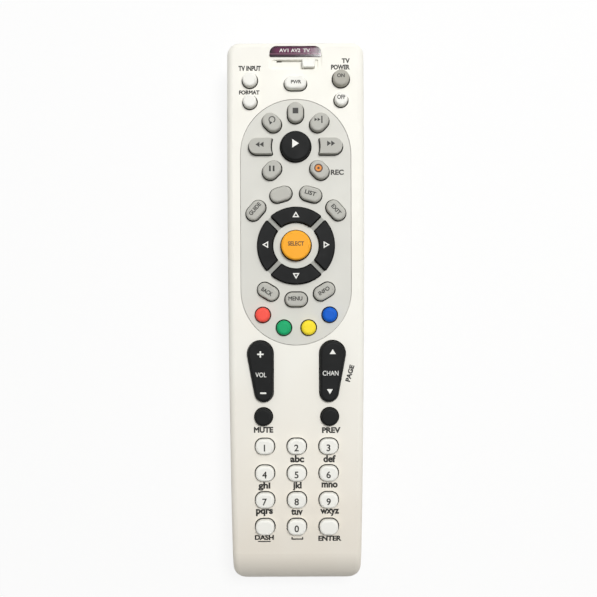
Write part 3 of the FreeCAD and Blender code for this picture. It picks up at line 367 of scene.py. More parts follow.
def dark_gap(tree, surface, shade_depths, *sides):
    """Paints shade on the walls between two depths under the top, as narrow gaps look from above; the
    dark is painted shade, not a colour of the walls.
    """
    near, far = shade_depths
    walls = ("Z", TOP - (near + far) / 2, (far - near) / 2, GAP_SHADE_SOFTNESS)
    shadow = opaque(bpy.context.scene.remote_plastics.gaps)
    lay_over(tree, surface, region(tree, walls, *sides), shadow)


# Materials


def moulded_plastic(name, rgb, roughness, size, depth, mottle, gloss=0.5, shade_depths=None):
    """Injection-moulded plastic: even colour with a faint cloud, satin, and a fine tool grain; where
    shade depths are given, painted shade on the sides that stand in the gaps round the part.
    """
    material, tree, surface = blank_material(name, IOR=1.5, Specular_IOR_Level=gloss)
    cloud(tree, surface, 14.0, shade(rgb, 1 - mottle), shade(rgb, 1 + mottle))
    polish(tree, surface, 5.0, roughness - 0.05, roughness + 0.05, detail=3.0)
    # painted shade on the sides that stand in the gaps round the part
    if shade_depths is not None:
        dark_gap(tree, surface, shade_depths)
    grain(tree, surface, size, depth)
    return material


def shell_plastic(name, colours):
    """White ABS from a spark-eroded tool: fine satin grain, painted shade that makes it a little darker
    and warmer towards the tail, and painted shade in the gaps round the keys.
    """
    material, tree, surface = blank_material(name, IOR=1.53, Base_Color=opaque(colours.shell))
    # painted shade: the white grows darker and warmer towards the tail, with random patches of tone
    shaded = add(
        tree, "ShaderNodeMapRange",
        {"Value": coordinates(tree)["Y"], "From Min": 0.0, "From Max": -TAIL_SHADE_LENGTH * MM,
         "To Min": 0.0, "To Max": 1.0},
        interpolation_type="SMOOTHSTEP",
    ).outputs["Result"]
    patches = speckle(tree, 22.0, -0.12, 0.12)
    tail_shade_and_patches = add(
        tree, "ShaderNodeMath", {0: shaded, 1: patches}, operation="ADD", use_clamp=True
    ).outputs[0]
    lay_over(tree, surface, tail_shade_and_patches, opaque(colours.handled))
    polish(tree, surface, 6.0, 0.54, 0.64, detail=3.0)
    # painted shade on the walls of the key holes in the keyed part of the shell
    dark_gap(
        tree, surface, SHELL_GAP_SHADE,
        ("X", 0.0, KEYED_HALF_WIDTH, EDGE_SOFTNESS), ("Y", 0.0, KEYED_HALF_LENGTH, EDGE_SOFTNESS),
    )
    # the real grain is near 0.1 mm; it is drawn at 0.7 mm so that it shows as satin
    grain(tree, surface, 0.7, 0.006)
    return material


def panel_plastic(name, colours):
    """Light grey ABS insert, with a darker grey laid on the cross and a pale collar round the select
    key.
    """
    material, tree, surface = blank_material(name, IOR=1.53)
    cloud(tree, surface, 16.0, shade(colours.panel, 0.985), shade(colours.panel, 1.015))
    for radius, ring_tone in ((SPOKES_RADIUS, colours.spokes), (COLLAR_RADIUS, colours.collar)):
        place = coordinates(tree)
        amount = round_region(tree, place["X"], place["Y"], RING_CENTRE, radius, EDGE_SOFTNESS)
        lay_over(tree, surface, amount, opaque(ring_tone))
    polish(tree, surface, 6.0, 0.54, 0.64, detail=3.0)
    # painted shade on the walls of the panel's key holes
    dark_gap(tree, surface, PANEL_GAP_SHADE)
    # the real grain is near 0.1 mm; it is drawn at 0.7 mm so that it shows as satin
    grain(tree, surface, 0.7, 0.005)
    return material


def window_plastic(name, colours):
    """Polycarbonate from a polished tool: glossy, near black, with a plum band printed behind it and a
    thin painted reflection line.
    """
    material, tree, surface = blank_material(
        name, IOR=1.585, Roughness=0.1, Coat_Weight=0.3, Base_Color=opaque(colours.window)
    )
    band = region(
        tree,
        ("X", 0.0, BAND_HALF_WIDTH, BAND_SIDE_SOFTNESS),
        ("Y", WINDOW_LINE, BAND_HALF_HEIGHT, BAND_EDGE_SOFTNESS),
    )
    lay_over(tree, surface, band, opaque(colours.window_band))
    # painted reflection: a thin light line along the window's near side
    glint = region(tree, ("Y", WINDOW_GLINT, GLINT_HALF_HEIGHT, GLINT_SOFTNESS))
    lay_over(tree, surface, glint, opaque(colours.window_ridge))
    grain(tree, surface, 2.5, 0.002)
    return material


def pad_ink(name, rgb):
    """Pad-printed ink: an even matt film with slightly starved patches."""
    material, tree, surface = blank_material(name, IOR=1.5)
    cloud(tree, surface, 1.2, shade(rgb, 0.94), shade(rgb, 1.06))
    polish(tree, surface, 0.6, 0.5, 0.62)
    return material


def plated_metal(name, rgb, roughness, size):
    """Plated sheet or wire: bright metal with a rolled or drawn grain, drawn coarse so that it shows."""
    material, tree, surface = blank_material(name, Metallic=1.0)
    cloud(tree, surface, size * 4, shade(rgb, 0.9), shade(rgb, 1.05))
    polish(tree, surface, size, roughness - 0.08, roughness + 0.08, detail=3.0)
    grain(tree, surface, size, 0.004)
    return material


def rubber_sheet(name, rgb):
    """Moulded silicone rubber: soft translucent grey, matt, with a dusty bloom."""
    material, tree, surface = blank_material(
        name, IOR=1.41, Subsurface_Weight=0.25, Subsurface_Radius=(2 * MM, 2 * MM, 2 * MM),
        Subsurface_Scale=1.0,
    )
    cloud(tree, surface, 3.0, shade(rgb, 0.94), shade(rgb, 1.05), detail=4.0)
    polish(tree, surface, 1.5, 0.6, 0.75)
    grain(tree, surface, 0.5, 0.006)
    return material


def masked_board(name):
    """Glass-epoxy laminate under green solder mask: a glossy film, paler where copper lies under it."""
    material, tree, surface = blank_material(name, IOR=1.55, Coat_Weight=0.4, Coat_Roughness=0.15)
    place = add(tree, "ShaderNodeTexCoord").outputs["Object"]
    deep = opaque(colour("1f5a34"))
    # real glass cloth has a weave near 0.5 mm; it is drawn at 0.9 mm so that it shows
    weave_pitch = 0.9
    copper_pitch = 6.0
    weave = add(
        tree, "ShaderNodeTexChecker",
        {"Vector": place, "Scale": 1 / (weave_pitch * MM),
         "Color1": deep, "Color2": opaque(colour("23643a"))},
    )
    copper = add(
        tree, "ShaderNodeTexBrick",
        {"Vector": place, "Scale": 1 / (copper_pitch * MM), "Mortar Size": 0.06, "Mortar": deep,
         "Color1": opaque(colour("2c7a45")), "Color2": opaque(colour("2a7241"))},
    )
    tree.links.new(weave.outputs["Color"], surface.inputs["Base Color"])
    lay_over(tree, surface, speckle(tree, 9.0, 0.0, 1.0), copper.outputs["Color"])
    polish(tree, surface, 2.0, 0.25, 0.4)
    grain(tree, surface, 0.9, 0.004)
    return material


def cell_jacket(name):
    """Printed film shrunk on a steel can: a glossy jacket with a pale band, bare steel at the ends."""
    material, tree, surface = blank_material(name, IOR=1.5, Base_Color=opaque(colour("3a4450")))
    band = region(tree, ("Y", CELL_BAND_MIDDLE, CELL_BAND_HALF, CELL_SOFTNESS))
    lay_over(tree, surface, band, opaque(colour("c8ccd0")))
    place = coordinates(tree)
    across = add(tree, "ShaderNodeMath", {0: place["X"]}, operation="ABSOLUTE").outputs[0]
    axis = (CELL_ACROSS, CELL_HEIGHT)
    bare = round_region(tree, across, place["Z"], axis, CELL_BARE_RADIUS, CELL_SOFTNESS)
    lay_over(tree, surface, bare, opaque(colour("b9b8b3")))
    tree.links.new(bare, surface.inputs["Metallic"])
    polish(tree, surface, 4.0, 0.22, 0.36)
    grain(tree, surface, 1.5, 0.004)
    return material


def paper_sweep(name, glow):
    """Matt white paper with a faint fibre; glow is the share of plain white seen in it."""
    material, tree, surface = blank_material(name, IOR=1.45, Roughness=0.9)
    cloud(tree, surface, 3.0, opaque(colour("f3f3f1")), opaque(colour("f6f6f4")), detail=4.0)
    path = add(tree, "ShaderNodeLightPath").outputs
    seen = add(
        tree, "ShaderNodeMath", {0: path["Is Camera Ray"], 1: path["Is Glossy Ray"]},
        operation="MAXIMUM",
    ).outputs[0]
    share = add(tree, "ShaderNodeMath", {0: seen, 1: glow}, operation="MULTIPLY").outputs[0]
    plain = add(tree, "ShaderNodeEmission", {"Color": WHITE, "Strength": 1.0}).outputs["Emission"]
    mixed = add(tree, "ShaderNodeMixShader", {0: share, 1: surface.outputs["BSDF"], 2: plain})
    output = next(node for node in tree.nodes if node.type == "OUTPUT_MATERIAL")
    tree.links.new(mixed.outputs["Shader"], output.inputs["Surface"])
    return material


def finish(nodes, material):
    """Gives CAD nodes a material through their own slots."""
    for name in nodes:
        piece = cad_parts[name]
        if not piece.material_slots:
            piece.data.materials.append(material)
        for slot in piece.material_slots:
            slot.material = material


# Signs


def polygon(corners):
    """A builder of a flat face through a few corners."""
    def build(sign):
        sign.faces.new([sign.verts.new((x, y, 0.0)) for x, y in corners])
    return build


def bar(wide, tall):
    """A builder of a plain bar."""
    x, y = wide / 2, tall / 2
    return polygon([(-x, -y), (x, -y), (x, y), (-x, y)])


def tray(wide, tall, side, base):
    """A builder of a bracket that lies on its back, the sign for a space."""
    x, y = wide / 2, tall / 2
    return polygon([
        (-x, -y), (x, -y), (x, y), (x - side, y),
        (x - side, base - y), (side - x, base - y), (side - x, y), (-x, y),
    ])


def plus(wide, line):
    """A builder of a plus sign."""
    a, b = wide / 2, line / 2
    return polygon([
        (-b, -a), (b, -a), (b, -b), (a, -b), (a, b), (b, b),
        (b, a), (-b, a), (-b, b), (-a, b), (-a, -b), (-b, -b),
    ])


def arrowhead(long, wide):
    """A builder of a solid triangle that points along +X, centred on its box."""
    return polygon([(-long / 2, -wide / 2), (long / 2, 0.0), (-long / 2, wide / 2)])


def disc(radius):
    """A builder of a filled circle."""
    def build(sign):
        bmesh.ops.create_circle(sign, cap_ends=True, segments=CIRCLE_SIDES, radius=radius)
    return build


def outlined(solid, line):
    """A builder that leaves only a band of line millimetres along the rim of a solid sign."""
    def build(sign):
        solid(sign)
        sign.normal_update()
        sign.faces.ensure_lookup_table()
        face = sign.faces[0]
        bmesh.ops.inset_region(
            sign, faces=[face], thickness=line, use_even_offset=True, use_boundary=True
        )
        bmesh.ops.delete(sign, geom=[face], context="FACES")
    return build


def arc(radius, line, start, sweep):
    """A builder of an open arc drawn as a line, from start through sweep degrees."""
    def build(sign):
        ends = [sign.verts.new((radius + side * line / 2, 0.0, 0.0)) for side in (-1, 1)]
        edge = sign.edges.new(ends)
        bmesh.ops.spin(
            sign, geom=[*ends, edge], cent=(0, 0, 0), axis=(0, 0, 1),
            angle=math.radians(sweep), steps=ARC_STEPS, use_merge=False,
        )
        bmesh.ops.rotate(
            sign, verts=sign.verts, cent=(0, 0, 0),
            matrix=Matrix.Rotation(math.radians(start), 3, "Z"),
        )
    return build


# Print


def text_mesh(text, **settings):
    """The mesh of a text in the built-in font at size 1, with the curve's own settings."""
    curve = bpy.data.curves.new("words", "FONT")
    curve.body = text
    for name, value in settings.items():
        setattr(curve, name, value)
    holder = bpy.data.objects.new("words", curve)
    bpy.context.scene.collection.objects.link(holder)
    depsgraph = bpy.context.evaluated_depsgraph_get()
    flat = bpy.data.meshes.new_from_object(holder.evaluated_get(depsgraph))
    bpy.data.objects.remove(holder)
    bpy.data.curves.remove(curve)
    return flat


def capital_height():
    """Height of a capital in the built-in font at size 1."""
    flat = text_mesh("H")
    tall = max(vert.co.y for vert in flat.vertices)
    bpy.data.meshes.remove(flat)
    return tall


CAPITAL = capital_height()


def set_down(ink, flat, at, turn):
    """Turns a flat mesh, moves it to its place on the top and adds it to the print."""
    place = Matrix.Translation((at[0] * MM, at[1] * MM, 0.0))
    flat.transform(place @ Matrix.Rotation(math.radians(turn), 4, "Z"))
    ink.from_mesh(flat)
    bpy.data.meshes.remove(flat)


def words(ink, text, at, cap, wide=None, bold=0.0, turn=0.0, on_line=False):
    """Adds a word with capitals cap tall, drawn out to wide, centred on its place or standing on it."""
    flat = text_mesh(text, bevel_depth=bold, bevel_resolution=0, extrude=0.5, resolution_u=4)
    left = min(vert.co.x for vert in flat.vertices)
    right = max(vert.co.x for vert in flat.vertices)
    tall = cap * MM / CAPITAL
    stretch = wide * MM / (right - left) if wide else tall
    middle = 0.0 if on_line else CAPITAL / 2
    thick = bpy.context.scene.remote_print.ink
    flat.transform(
        Matrix.Diagonal((stretch, tall, thick, 1.0))
        @ Matrix.Translation((-(left + right) / 2, -middle, 0.5))
    )
    set_down(ink, flat, at, turn)


def shape(ink, build, at, turn=0.0):
    """Adds a sign that a builder draws in millimetres."""
    sign = bmesh.new()
    build(sign)
    bmesh.ops.scale(sign, vec=(MM, MM, MM), verts=sign.verts)
    bmesh.ops.solidify(sign, geom=sign.faces[:], thickness=bpy.context.scene.remote_print.ink)
    lowest = min(vert.co.z for vert in sign.verts)
    bmesh.ops.translate(sign, vec=(0.0, 0.0, -lowest), verts=sign.verts)
    bmesh.ops.recalc_face_normals(sign, faces=sign.faces)
    flat = bpy.data.meshes.new("sign")
    sign.to_mesh(flat)
    sign.free()
    set_down(ink, flat, at, turn)


def lay_print(ink, name, node, body, material):
    """Drops the print onto a node's top and makes it a piece that rides on a body."""
    bmesh.ops.remove_doubles(ink, verts=ink.verts, dist=SAME_POINT)
    bmesh.ops.recalc_face_normals(ink, faces=ink.faces)
    below = BVHTree.FromObject(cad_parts[node], bpy.context.evaluated_depsgraph_get())
    sink = bpy.context.scene.remote_print.sink
    for vert in ink.verts:
        hit = below.ray_cast(Vector((vert.co.x, vert.co.y, ABOVE)), DOWN)[0]
        if hit is None:
            x, y = vert.co.x / MM, vert.co.y / MM
            raise RuntimeError(f"{name} reaches past {node} at {x:.2f}, {y:.2f}")
        vert.co.z += hit.z - sink
    mesh = bpy.data.meshes.new(name)
    ink.to_mesh(mesh)
    ink.free()
    mesh.materials.append(material)
    piece = bpy.data.objects.new(name, mesh)
    bpy.context.scene.collection.objects.link(piece)
    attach(piece, body)


# Keys by finish

WHITE_KEYS = (
    ["tv_input_key", "format_key", "power_key", "tv_off_key", "dash_key", "enter_key"]
    + [f"number_{digit}_key" for digit in range(10)]
)
GREY_KEYS = [
    "skip_key", "stop_key", "replay_key", "pause_key", "record_key", "forward_key", "rewind_key",
    "guide_key", "shortcut_key", "list_key", "exit_key", "back_key", "menu_key", "info_key",
]
BLACK_KEYS = [
    "play_key", "right_key", "up_key", "left_key", "down_key",
    "volume_key", "channel_key", "mute_key", "previous_key",
]

# Words on the shell: text, middle across and along, height of the capitals, width
SHELL_WORDS = (
    ("TV INPUT", -18.7, 100.7, 1.84, 9.15),
    ("FORMAT", -18.9, 90.85, 1.5, 8.4),
    ("TV", 20.65, 103.7, 1.75, 3.3),
    ("POWER", 18.45, 101.1, 1.75, 7.7),
    ("MUTE", -13.55, -47.2, 2.1, 7.9),
    ("PREV", 14.15, -47.4, 2.1, 7.6),
    ("DASH", -13.4, -91.4, 1.8, 7.8),
    ("ENTER", 13.45, -91.8, 1.9, 9.5),
)

# Letter groups under the digits: text, middle across, line that they stand on, width
LETTER_GROUPS = (
    ("abc", 0.15, -60.4, 5.7),
    ("def", 13.4, -60.4, 5.1),
    ("ghi", -13.3, -71.1, 5.0),
    ("jkl", 0.1, -71.1, 3.7),
    ("mno", 13.4, -70.75, 6.6),
    ("pqrs", -13.3, -81.5, 6.95),
    ("tuv", 0.0, -81.95, 4.8),
    ("wxyz", 13.4, -81.5, 7.8),
)
TUCKED_GROUPS = ("ghi", "jkl")

# Positions on the window: text, middle across, width
WINDOW_WORDS = (("AV1", -4.7, 3.76), ("AV2", 0.12, 3.76), ("TV", 4.62, 2.7))

# Words on keys: key, text, height of the capitals, or None for the menu keys' own, width, turn in
# degrees, place across and along from the key's middle
KEY_WORDS = (
    ("power_key", "PWR", 1.3, 4.2, 0.0, 0.3, 0.1),
    ("tv_on_key", "ON", 1.4, 3.07, 0.0, -0.15, 0.7),
    ("tv_off_key", "OFF", 1.6, 3.3, 0.0, 0.0, 0.6),
    ("select_key", "SELECT", 1.6, 6.5, 0.0, 0.0, 0.65),
    ("guide_key", "GUIDE", None, 6.1, 48.75, -0.3, 0.5),
    ("list_key", "LIST", None, 4.6, -16.25, -0.1, 0.4),
    ("exit_key", "EXIT", None, 4.8, -48.75, 0.1, 0.2),
    ("back_key", "BACK", None, 4.9, -31.3, -0.4, 0.0),
    ("menu_key", "MENU", None, 5.7, 0.0, -0.3, 0.4),
    ("info_key", "INFO", None, 4.9, 31.3, -0.1, 0.3),
)

# Signs on the direction keys: key, turn in degrees, place from the ring's middle
DIRECTION_SIGNS = (
    ("right_key", 0, 12.45, 0.2),
    ("up_key", 90, 0.0, 12.6),
    ("left_key", 180, -12.5, 0.3),
    ("down_key", -90, 0.0, -12.5),
)


class REMOTE_OT_shells(Operator):
    """Finish the two shells and the battery door"""

    bl_idname = "remote.shells"
    bl_label = "Shells"

    def execute(self, context):
        white = shell_plastic("Moulded_white_ABS", context.scene.remote_plastics)
        finish(["front_shell", "rear_shell", "battery_door"], white)
        return {"FINISHED"}


class REMOTE_OT_panel(Operator):
    """Finish the oval key surround and the window"""

    bl_idname = "remote.panel"
    bl_label = "Panel and window"

    def execute(self, context):
        colours = context.scene.remote_plastics
        finish(["centre_panel"], panel_plastic("Moulded_grey_ABS", colours))
        finish(["ir_window"], window_plastic("Polished_tinted_polycarbonate", colours))
        return {"FINISHED"}


class REMOTE_OT_keys(Operator):
    """Finish every key cap in its own colour"""

    bl_idname = "remote.keys"
    bl_label = "Key caps"

    def execute(self, context):
        colours = context.scene.remote_plastics
        # moulded caps: satin tops with a grain of 0.6 mm, coarser than real so that it shows
        skin = {"size": 0.6, "depth": 0.005, "mottle": 0.015}
        caps = (
            ("Moulded_white_key_caps", colours.white_key, WHITE_KEYS, 0.52),
            ("Moulded_pale_grey_key_cap", colours.pale_grey_key, ["tv_on_key"], 0.54),
            ("Moulded_grey_key_caps", colours.grey_key, GREY_KEYS, 0.55),
            ("Moulded_black_key_caps", colours.black_key, BLACK_KEYS, 0.64),
            ("Moulded_orange_key_cap", colours.select_key, ["select_key"], 0.56),
            ("Moulded_red_key_cap", colours.red_key, ["red_key"], 0.56),
            ("Moulded_green_key_cap", colours.green_key, ["green_key"], 0.56),
            ("Moulded_yellow_key_cap", colours.yellow_key, ["yellow_key"], 0.56),
            ("Moulded_blue_key_cap", colours.blue_key, ["blue_key"], 0.56),
        )
        # every cap gets painted shade on its sides where they stand in the gaps round it
        for name, rgb, nodes, roughness in caps:
            finish(nodes, moulded_plastic(name, rgb, roughness, **skin, gloss=0.2, shade_depths=CAP_GAP_SHADE))
        slider = moulded_plastic("Moulded_white_slider", colours.white_key, 0.4, **skin, gloss=0.3)
        finish(["mode_slider"], slider)
        return {"FINISHED"}


class REMOTE_OT_inside(Operator):
    """Finish the keypad sheet, the board and what stands on it"""

    bl_idname = "remote.inside"
    bl_label = "Board and keypad"

    def execute(self, context):
        silicone = context.scene.remote_plastics.silicone
        finish(["keypad_sheet"], rubber_sheet("Moulded_silicone_rubber", silicone))
        finish(["circuit_board"], masked_board("Solder_masked_laminate"))
        finish(["controller_chip"], moulded_plastic(
            "Moulded_black_epoxy", colour("1d1d1e"), roughness=0.6, size=0.4, depth=0.01, mottle=0.05))
        finish(["small_components"], plated_metal(
            "Drawn_component_cases", colour("b5b6b8"), roughness=0.35, size=0.8))
        finish(["ir_leds"], moulded_plastic(
            "Cast_tinted_epoxy", colour("3b3f63"), roughness=0.12, size=2.0, depth=0.002, mottle=0.03))
        finish(["slide_switch", "battery_contacts"], plated_metal(
            "Nickel_plated_spring_steel", colour("c4c1b8"), roughness=0.28, size=0.7))
        finish(["case_screws"], plated_metal(
            "Zinc_plated_screws", colour("b9bcc0"), roughness=0.38, size=0.6))
        finish(["batteries"], cell_jacket("Film_jacketed_steel_cells"))
        return {"FINISHED"}


class REMOTE_OT_shell_print(Operator):
    """Print the words, letter groups and signs on the shell"""

    bl_idname = "remote.shell_print"
    bl_label = "Shell print"

    def execute(self, context):
        sizes = context.scene.remote_print
        ink = bmesh.new()
        for text, x, y, cap, wide in SHELL_WORDS:
            words(ink, text, (x, y), cap, wide, bold=0.048)
        for text, x, y, wide in LETTER_GROUPS:
            cap = (sizes.tucked if text in TUCKED_GROUPS else sizes.letters) / MM
            words(ink, text, (x, y), cap, wide, bold=0.045, on_line=True)
        words(ink, "PAGE", (21.85, -24.2), cap=1.75, wide=7.0, bold=0.05, turn=74)
        shape(ink, bar(5.2, 0.45), (-13.4, -93.05))
        shape(ink, tray(4.8, 1.1, 0.45, 0.5), (0.1, -91.8))
        dark = pad_ink("Dark_pad_ink", context.scene.remote_inks.dark)
        lay_print(ink, "shell_print", "front_shell", "housing", dark)
        return {"FINISHED"}


class REMOTE_OT_panel_print(Operator):
    """Print the word on the panel and the positions on the window"""

    bl_idname = "remote.panel_print"
    bl_label = "Panel and window print"

    def execute(self, context):
        inks = context.scene.remote_inks
        ink = bmesh.new()
        words(ink, "REC", (17.0, 58.1), cap=1.9, wide=5.3, bold=0.04)
        lay_print(ink, "panel_print", "centre_panel", "housing", pad_ink("Dark_panel_ink", inks.dark))
        ink = bmesh.new()
        for text, x, wide in WINDOW_WORDS:
            words(ink, text, (x, WINDOW_LINE), cap=1.35, wide=wide, bold=0.012)
        lay_print(ink, "window_print", "ir_window", "housing", pad_ink("Pale_window_ink", inks.pale))
        return {"FINISHED"}


class REMOTE_OT_number_print(Operator):
    """Print the digits on the number keys"""

    bl_idname = "remote.number_print"
    bl_label = "Digits"

    def execute(self, context):
        dark = pad_ink("Dark_key_ink", context.scene.remote_inks.dark)
        tall = context.scene.remote_print.digit / MM
        for digit in range(10):
            node = f"number_{digit}_key"
            x, y = middle_of(node)
            ink = bmesh.new()
            words(ink, str(digit), (x - 0.1, y - 0.3), cap=tall, bold=0.02)
            lay_print(ink, f"digit_{digit}_print", node, node, dark)
        return {"FINISHED"}


class REMOTE_OT_word_print(Operator):
    """Print the words on the menu, power, television and select keys"""

    bl_idname = "remote.word_print"
    bl_label = "Key words"

    def execute(self, context):
        inks = context.scene.remote_inks
        dark = pad_ink("Dark_word_ink", inks.dark)
        brown = pad_ink("Brown_word_ink", inks.brown)
        menu_cap = context.scene.remote_print.key_word / MM
        for node, text, cap, wide, turn, across, along in KEY_WORDS:
            x, y = middle_of(node)
            ink = bmesh.new()
            words(ink, text, (x + across, y + along), cap or menu_cap, wide, bold=0.03, turn=turn)
            material = brown if node == "select_key" else dark
            lay_print(ink, node.replace("_key", "_print"), node, node, material)
        return {"FINISHED"}


class REMOTE_OT_playback_print(Operator):
    """Print the playback signs"""

    bl_idname = "remote.playback_print"
    bl_label = "Playback signs"

    def execute(self, context):
        inks = context.scene.remote_inks
        dark = pad_ink("Dark_sign_ink", inks.dark)
        pale = pad_ink("Pale_sign_ink", inks.pale)
        brown = pad_ink("Brown_pad_ink", inks.brown)
        orange = pad_ink("Orange_pad_ink", inks.record)
        pause_bar = bar(0.75, 2.3)
        seek_head = arrowhead(1.6, 2.2)
        skip_head = arrowhead(1.2, 1.4)
        # a part is a builder, its place across and along from the key's middle, its turn in degrees
        signs = (
            ("stop_sign", "stop_key", dark, [(bar(2.3, 2.3), 0.0, 0.4, 0)]),
            ("pause_sign", "pause_key", dark, [(pause_bar, -0.75, 0.4, 0), (pause_bar, 0.75, 0.4, 0)]),
            ("rewind_sign", "rewind_key", dark, [
                (seek_head, 0.3, 0.45, 180), (seek_head, -1.35, 0.45, 180),
            ]),
            ("forward_sign", "forward_key", dark, [
                (seek_head, -0.5, 0.8, 0), (seek_head, 1.15, 0.8, 0),
            ]),
            ("skip_sign", "skip_key", dark, [
                (skip_head, -1.4, 0.8, 0), (skip_head, -0.15, 0.8, 0), (bar(0.5, 2.9), 1.0, 0.8, 0),
            ]),
            ("replay_sign", "replay_key", dark, [
                (arc(1.2, 0.4, -60, 300), 0.15, 0.8, 0), (arrowhead(1.3, 1.6), -0.25, -0.4, 10),
            ]),
            ("play_sign", "play_key", pale, [(arrowhead(2.7, 3.45), 0.0, 0.85, 0)]),
            ("record_sign", "record_key", orange, [(outlined(disc(1.25), 0.75), -0.45, 0.5, 0)]),
            ("record_rim_sign", "record_key", brown, [
                (outlined(disc(1.75), 0.5), -0.45, 0.5, 0), (disc(0.5), -0.45, 0.5, 0),
            ]),
        )
        for name, node, material, parts in signs:
            x, y = middle_of(node)
            ink = bmesh.new()
            for build, across, along, turn in parts:
                shape(ink, build, (x + across, y + along), turn)
            lay_print(ink, name, node, node, material)
        return {"FINISHED"}


class REMOTE_OT_direction_print(Operator):
    """Print the outlined arrowheads on the direction keys"""

    bl_idname = "remote.direction_print"
    bl_label = "Direction signs"

    def execute(self, context):
        pale = pad_ink("Pale_arrow_ink", context.scene.remote_inks.pale)
        x, y = RING_CENTRE
        for node, turn, across, along in DIRECTION_SIGNS:
            ink = bmesh.new()
            shape(ink, outlined(arrowhead(2.4, 2.8), 0.42), (x + across, y + along), turn)
            lay_print(ink, node.replace("_key", "_sign"), node, node, pale)
        return {"FINISHED"}


class REMOTE_OT_rocker_print(Operator):
    """Print the words and signs on the two rockers"""

    bl_idname = "remote.rocker_print"
    bl_label = "Rocker print"

    def execute(self, context):
        pale = pad_ink("Pale_rocker_ink", context.scene.remote_inks.pale)
        ink = bmesh.new()
        words(ink, "VOL", (-14.4, -24.45), cap=1.85, wide=4.4, bold=0.006)
        shape(ink, plus(2.6, 0.6), (-14.6, -16.1))
        shape(ink, bar(2.5, 0.65), (-13.5, -31.85))
        lay_print(ink, "volume_print", "volume_key", "volume_key", pale)
        ink = bmesh.new()
        words(ink, "CHAN", (13.85, -23.85), cap=1.85, wide=6.4, bold=0.006)
        shape(ink, arrowhead(2.0, 2.5), (14.75, -15.1), 90)
        shape(ink, arrowhead(2.0, 2.4), (13.55, -31.3), -90)
        lay_print(ink, "channel_print", "channel_key", "channel_key", pale)
        return {"FINISHED"}


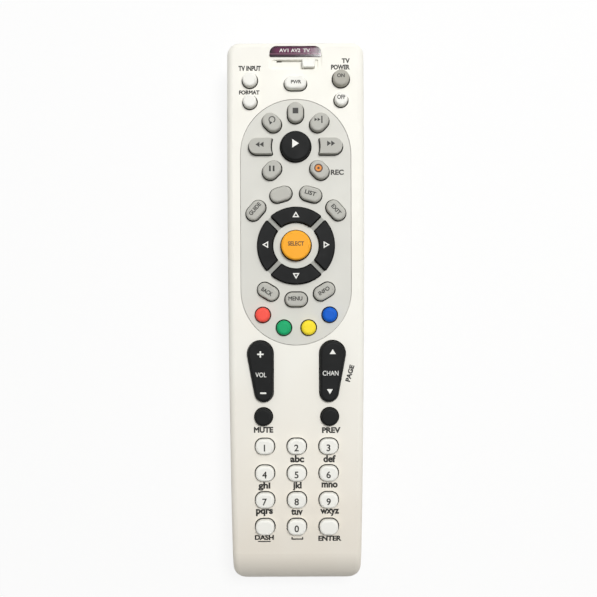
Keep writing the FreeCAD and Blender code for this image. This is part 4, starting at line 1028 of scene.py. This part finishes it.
class REMOTE_OT_studio(Operator):
    """Set the floor, the lamps and the camera"""

    bl_idname = "remote.studio"
    bl_label = "Studio"

    def execute(self, context):
        scene = context.scene
        sizes = scene.remote_studio
        scene.view_settings.view_transform = "Standard"
        self.set_floor(scene, sizes)
        self.set_lamps(scene, sizes)
        self.set_room(scene, sizes)
        self.set_camera(scene, sizes)
        return {"FINISHED"}

    def set_floor(self, scene, sizes):
        """Lays a wide sheet of white paper under the remote."""
        sheet = bmesh.new()
        bmesh.ops.create_grid(sheet, x_segments=1, y_segments=1, size=sizes.floor)
        bmesh.ops.translate(sheet, vec=(0.0, 0.0, -FLOOR_DROP * MM), verts=sheet.verts)
        mesh = bpy.data.meshes.new("floor")
        sheet.to_mesh(mesh)
        sheet.free()
        floor = bpy.data.objects.new("floor", mesh)
        scene.collection.objects.link(floor)
        mesh.materials.append(paper_sweep("White_paper_sweep", sizes.floor_glow))

    def set_lamps(self, scene, sizes):
        """Hangs the two round soft lamps, both turned to the middle of the remote."""
        for name, (place, width), power in (
            ("key_lamp", KEY_LAMP, sizes.key_lamp), ("fill_lamp", FILL_LAMP, sizes.fill_lamp),
        ):
            light = bpy.data.lights.new(name, "AREA")
            light.shape = "DISK"
            light.size = width
            light.energy = power
            lamp = bpy.data.objects.new(name, light)
            lamp.location = place
            lamp.rotation_euler = (-Vector(place)).to_track_quat("-Z", "Y").to_euler()
            scene.collection.objects.link(lamp)

    def set_room(self, scene, sizes):
        """Fills the room with light that falls off towards the tail; the camera sees plain white."""
        world = bpy.data.worlds.new("Soft_white_room")
        scene.world = world
        world.use_nodes = True
        tree = world.node_tree
        tree.nodes.clear()
        direction = add(tree, "ShaderNodeTexCoord").outputs["Generated"]
        along = add(tree, "ShaderNodeSeparateXYZ", {"Vector": direction}).outputs["Y"]
        strength = add(
            tree, "ShaderNodeMapRange",
            {"Value": along, "From Min": -1.0, "From Max": 1.0,
             "To Min": sizes.tail_room, "To Max": sizes.head_room},
        ).outputs["Result"]
        room = add(tree, "ShaderNodeBackground", {"Color": WHITE, "Strength": strength})
        plain = add(tree, "ShaderNodeBackground", {"Color": WHITE, "Strength": 1.0})
        seen = add(tree, "ShaderNodeLightPath").outputs["Is Camera Ray"]
        both = add(
            tree, "ShaderNodeMixShader",
            {0: seen, 1: room.outputs["Background"], 2: plain.outputs["Background"]},
        )
        add(tree, "ShaderNodeOutputWorld", {"Surface": both.outputs["Shader"]})

    def set_camera(self, scene, sizes):
        """Hangs the camera over the remote, looking straight down."""
        lens = bpy.data.cameras.new("camera")
        lens.lens = sizes.lens
        lens.sensor_width = SENSOR
        lens.clip_start = 0.01
        lens.clip_end = 10.0
        camera = bpy.data.objects.new("camera", lens)
        camera.location = (sizes.foot_x, sizes.foot_y, sizes.height)
        camera.rotation_euler = (0.0, 0.0, sizes.roll)
        scene.collection.objects.link(camera)
        scene.camera = camera


STEPS = (
    REMOTE_OT_shells, REMOTE_OT_panel, REMOTE_OT_keys, REMOTE_OT_inside, REMOTE_OT_shell_print,
    REMOTE_OT_panel_print, REMOTE_OT_number_print, REMOTE_OT_word_print, REMOTE_OT_playback_print,
    REMOTE_OT_direction_print, REMOTE_OT_rocker_print, REMOTE_OT_studio,
)
GROUPS = {
    "remote_plastics": PlasticColours,
    "remote_inks": InkColours,
    "remote_print": PrintSizes,
    "remote_studio": StudioSizes,
}


class REMOTE_PT_sidebar(Panel):
    """Lists the steps and the sizes and colours that can be changed"""

    bl_idname = "REMOTE_PT_sidebar"
    bl_label = "Remote control"
    bl_space_type = "VIEW_3D"
    bl_region_type = "UI"
    bl_category = "Remote"

    def draw(self, context):
        for step in STEPS:
            self.layout.operator(step.bl_idname)
        for name, kind in GROUPS.items():
            box = self.layout.box()
            for setting in kind.__annotations__:
                box.prop(getattr(context.scene, name), setting)


def register():
    """Registers the groups, the steps and the sidebar."""
    for name, group in GROUPS.items():
        bpy.utils.register_class(group)
        setattr(bpy.types.Scene, name, PointerProperty(type=group))
    for step in STEPS:
        bpy.utils.register_class(step)
    bpy.utils.register_class(REMOTE_PT_sidebar)


def unregister():
    """Takes back everything that register added."""
    bpy.utils.unregister_class(REMOTE_PT_sidebar)
    for step in reversed(STEPS):
        bpy.utils.unregister_class(step)
    for name, group in reversed(GROUPS.items()):
        delattr(bpy.types.Scene, name)
        bpy.utils.unregister_class(group)


def main():
    """Runs every step."""
    register()
    for step in STEPS:
        area, name = step.bl_idname.split(".")
        getattr(getattr(bpy.ops, area), name)()


if __name__ == "__main__":
    main()
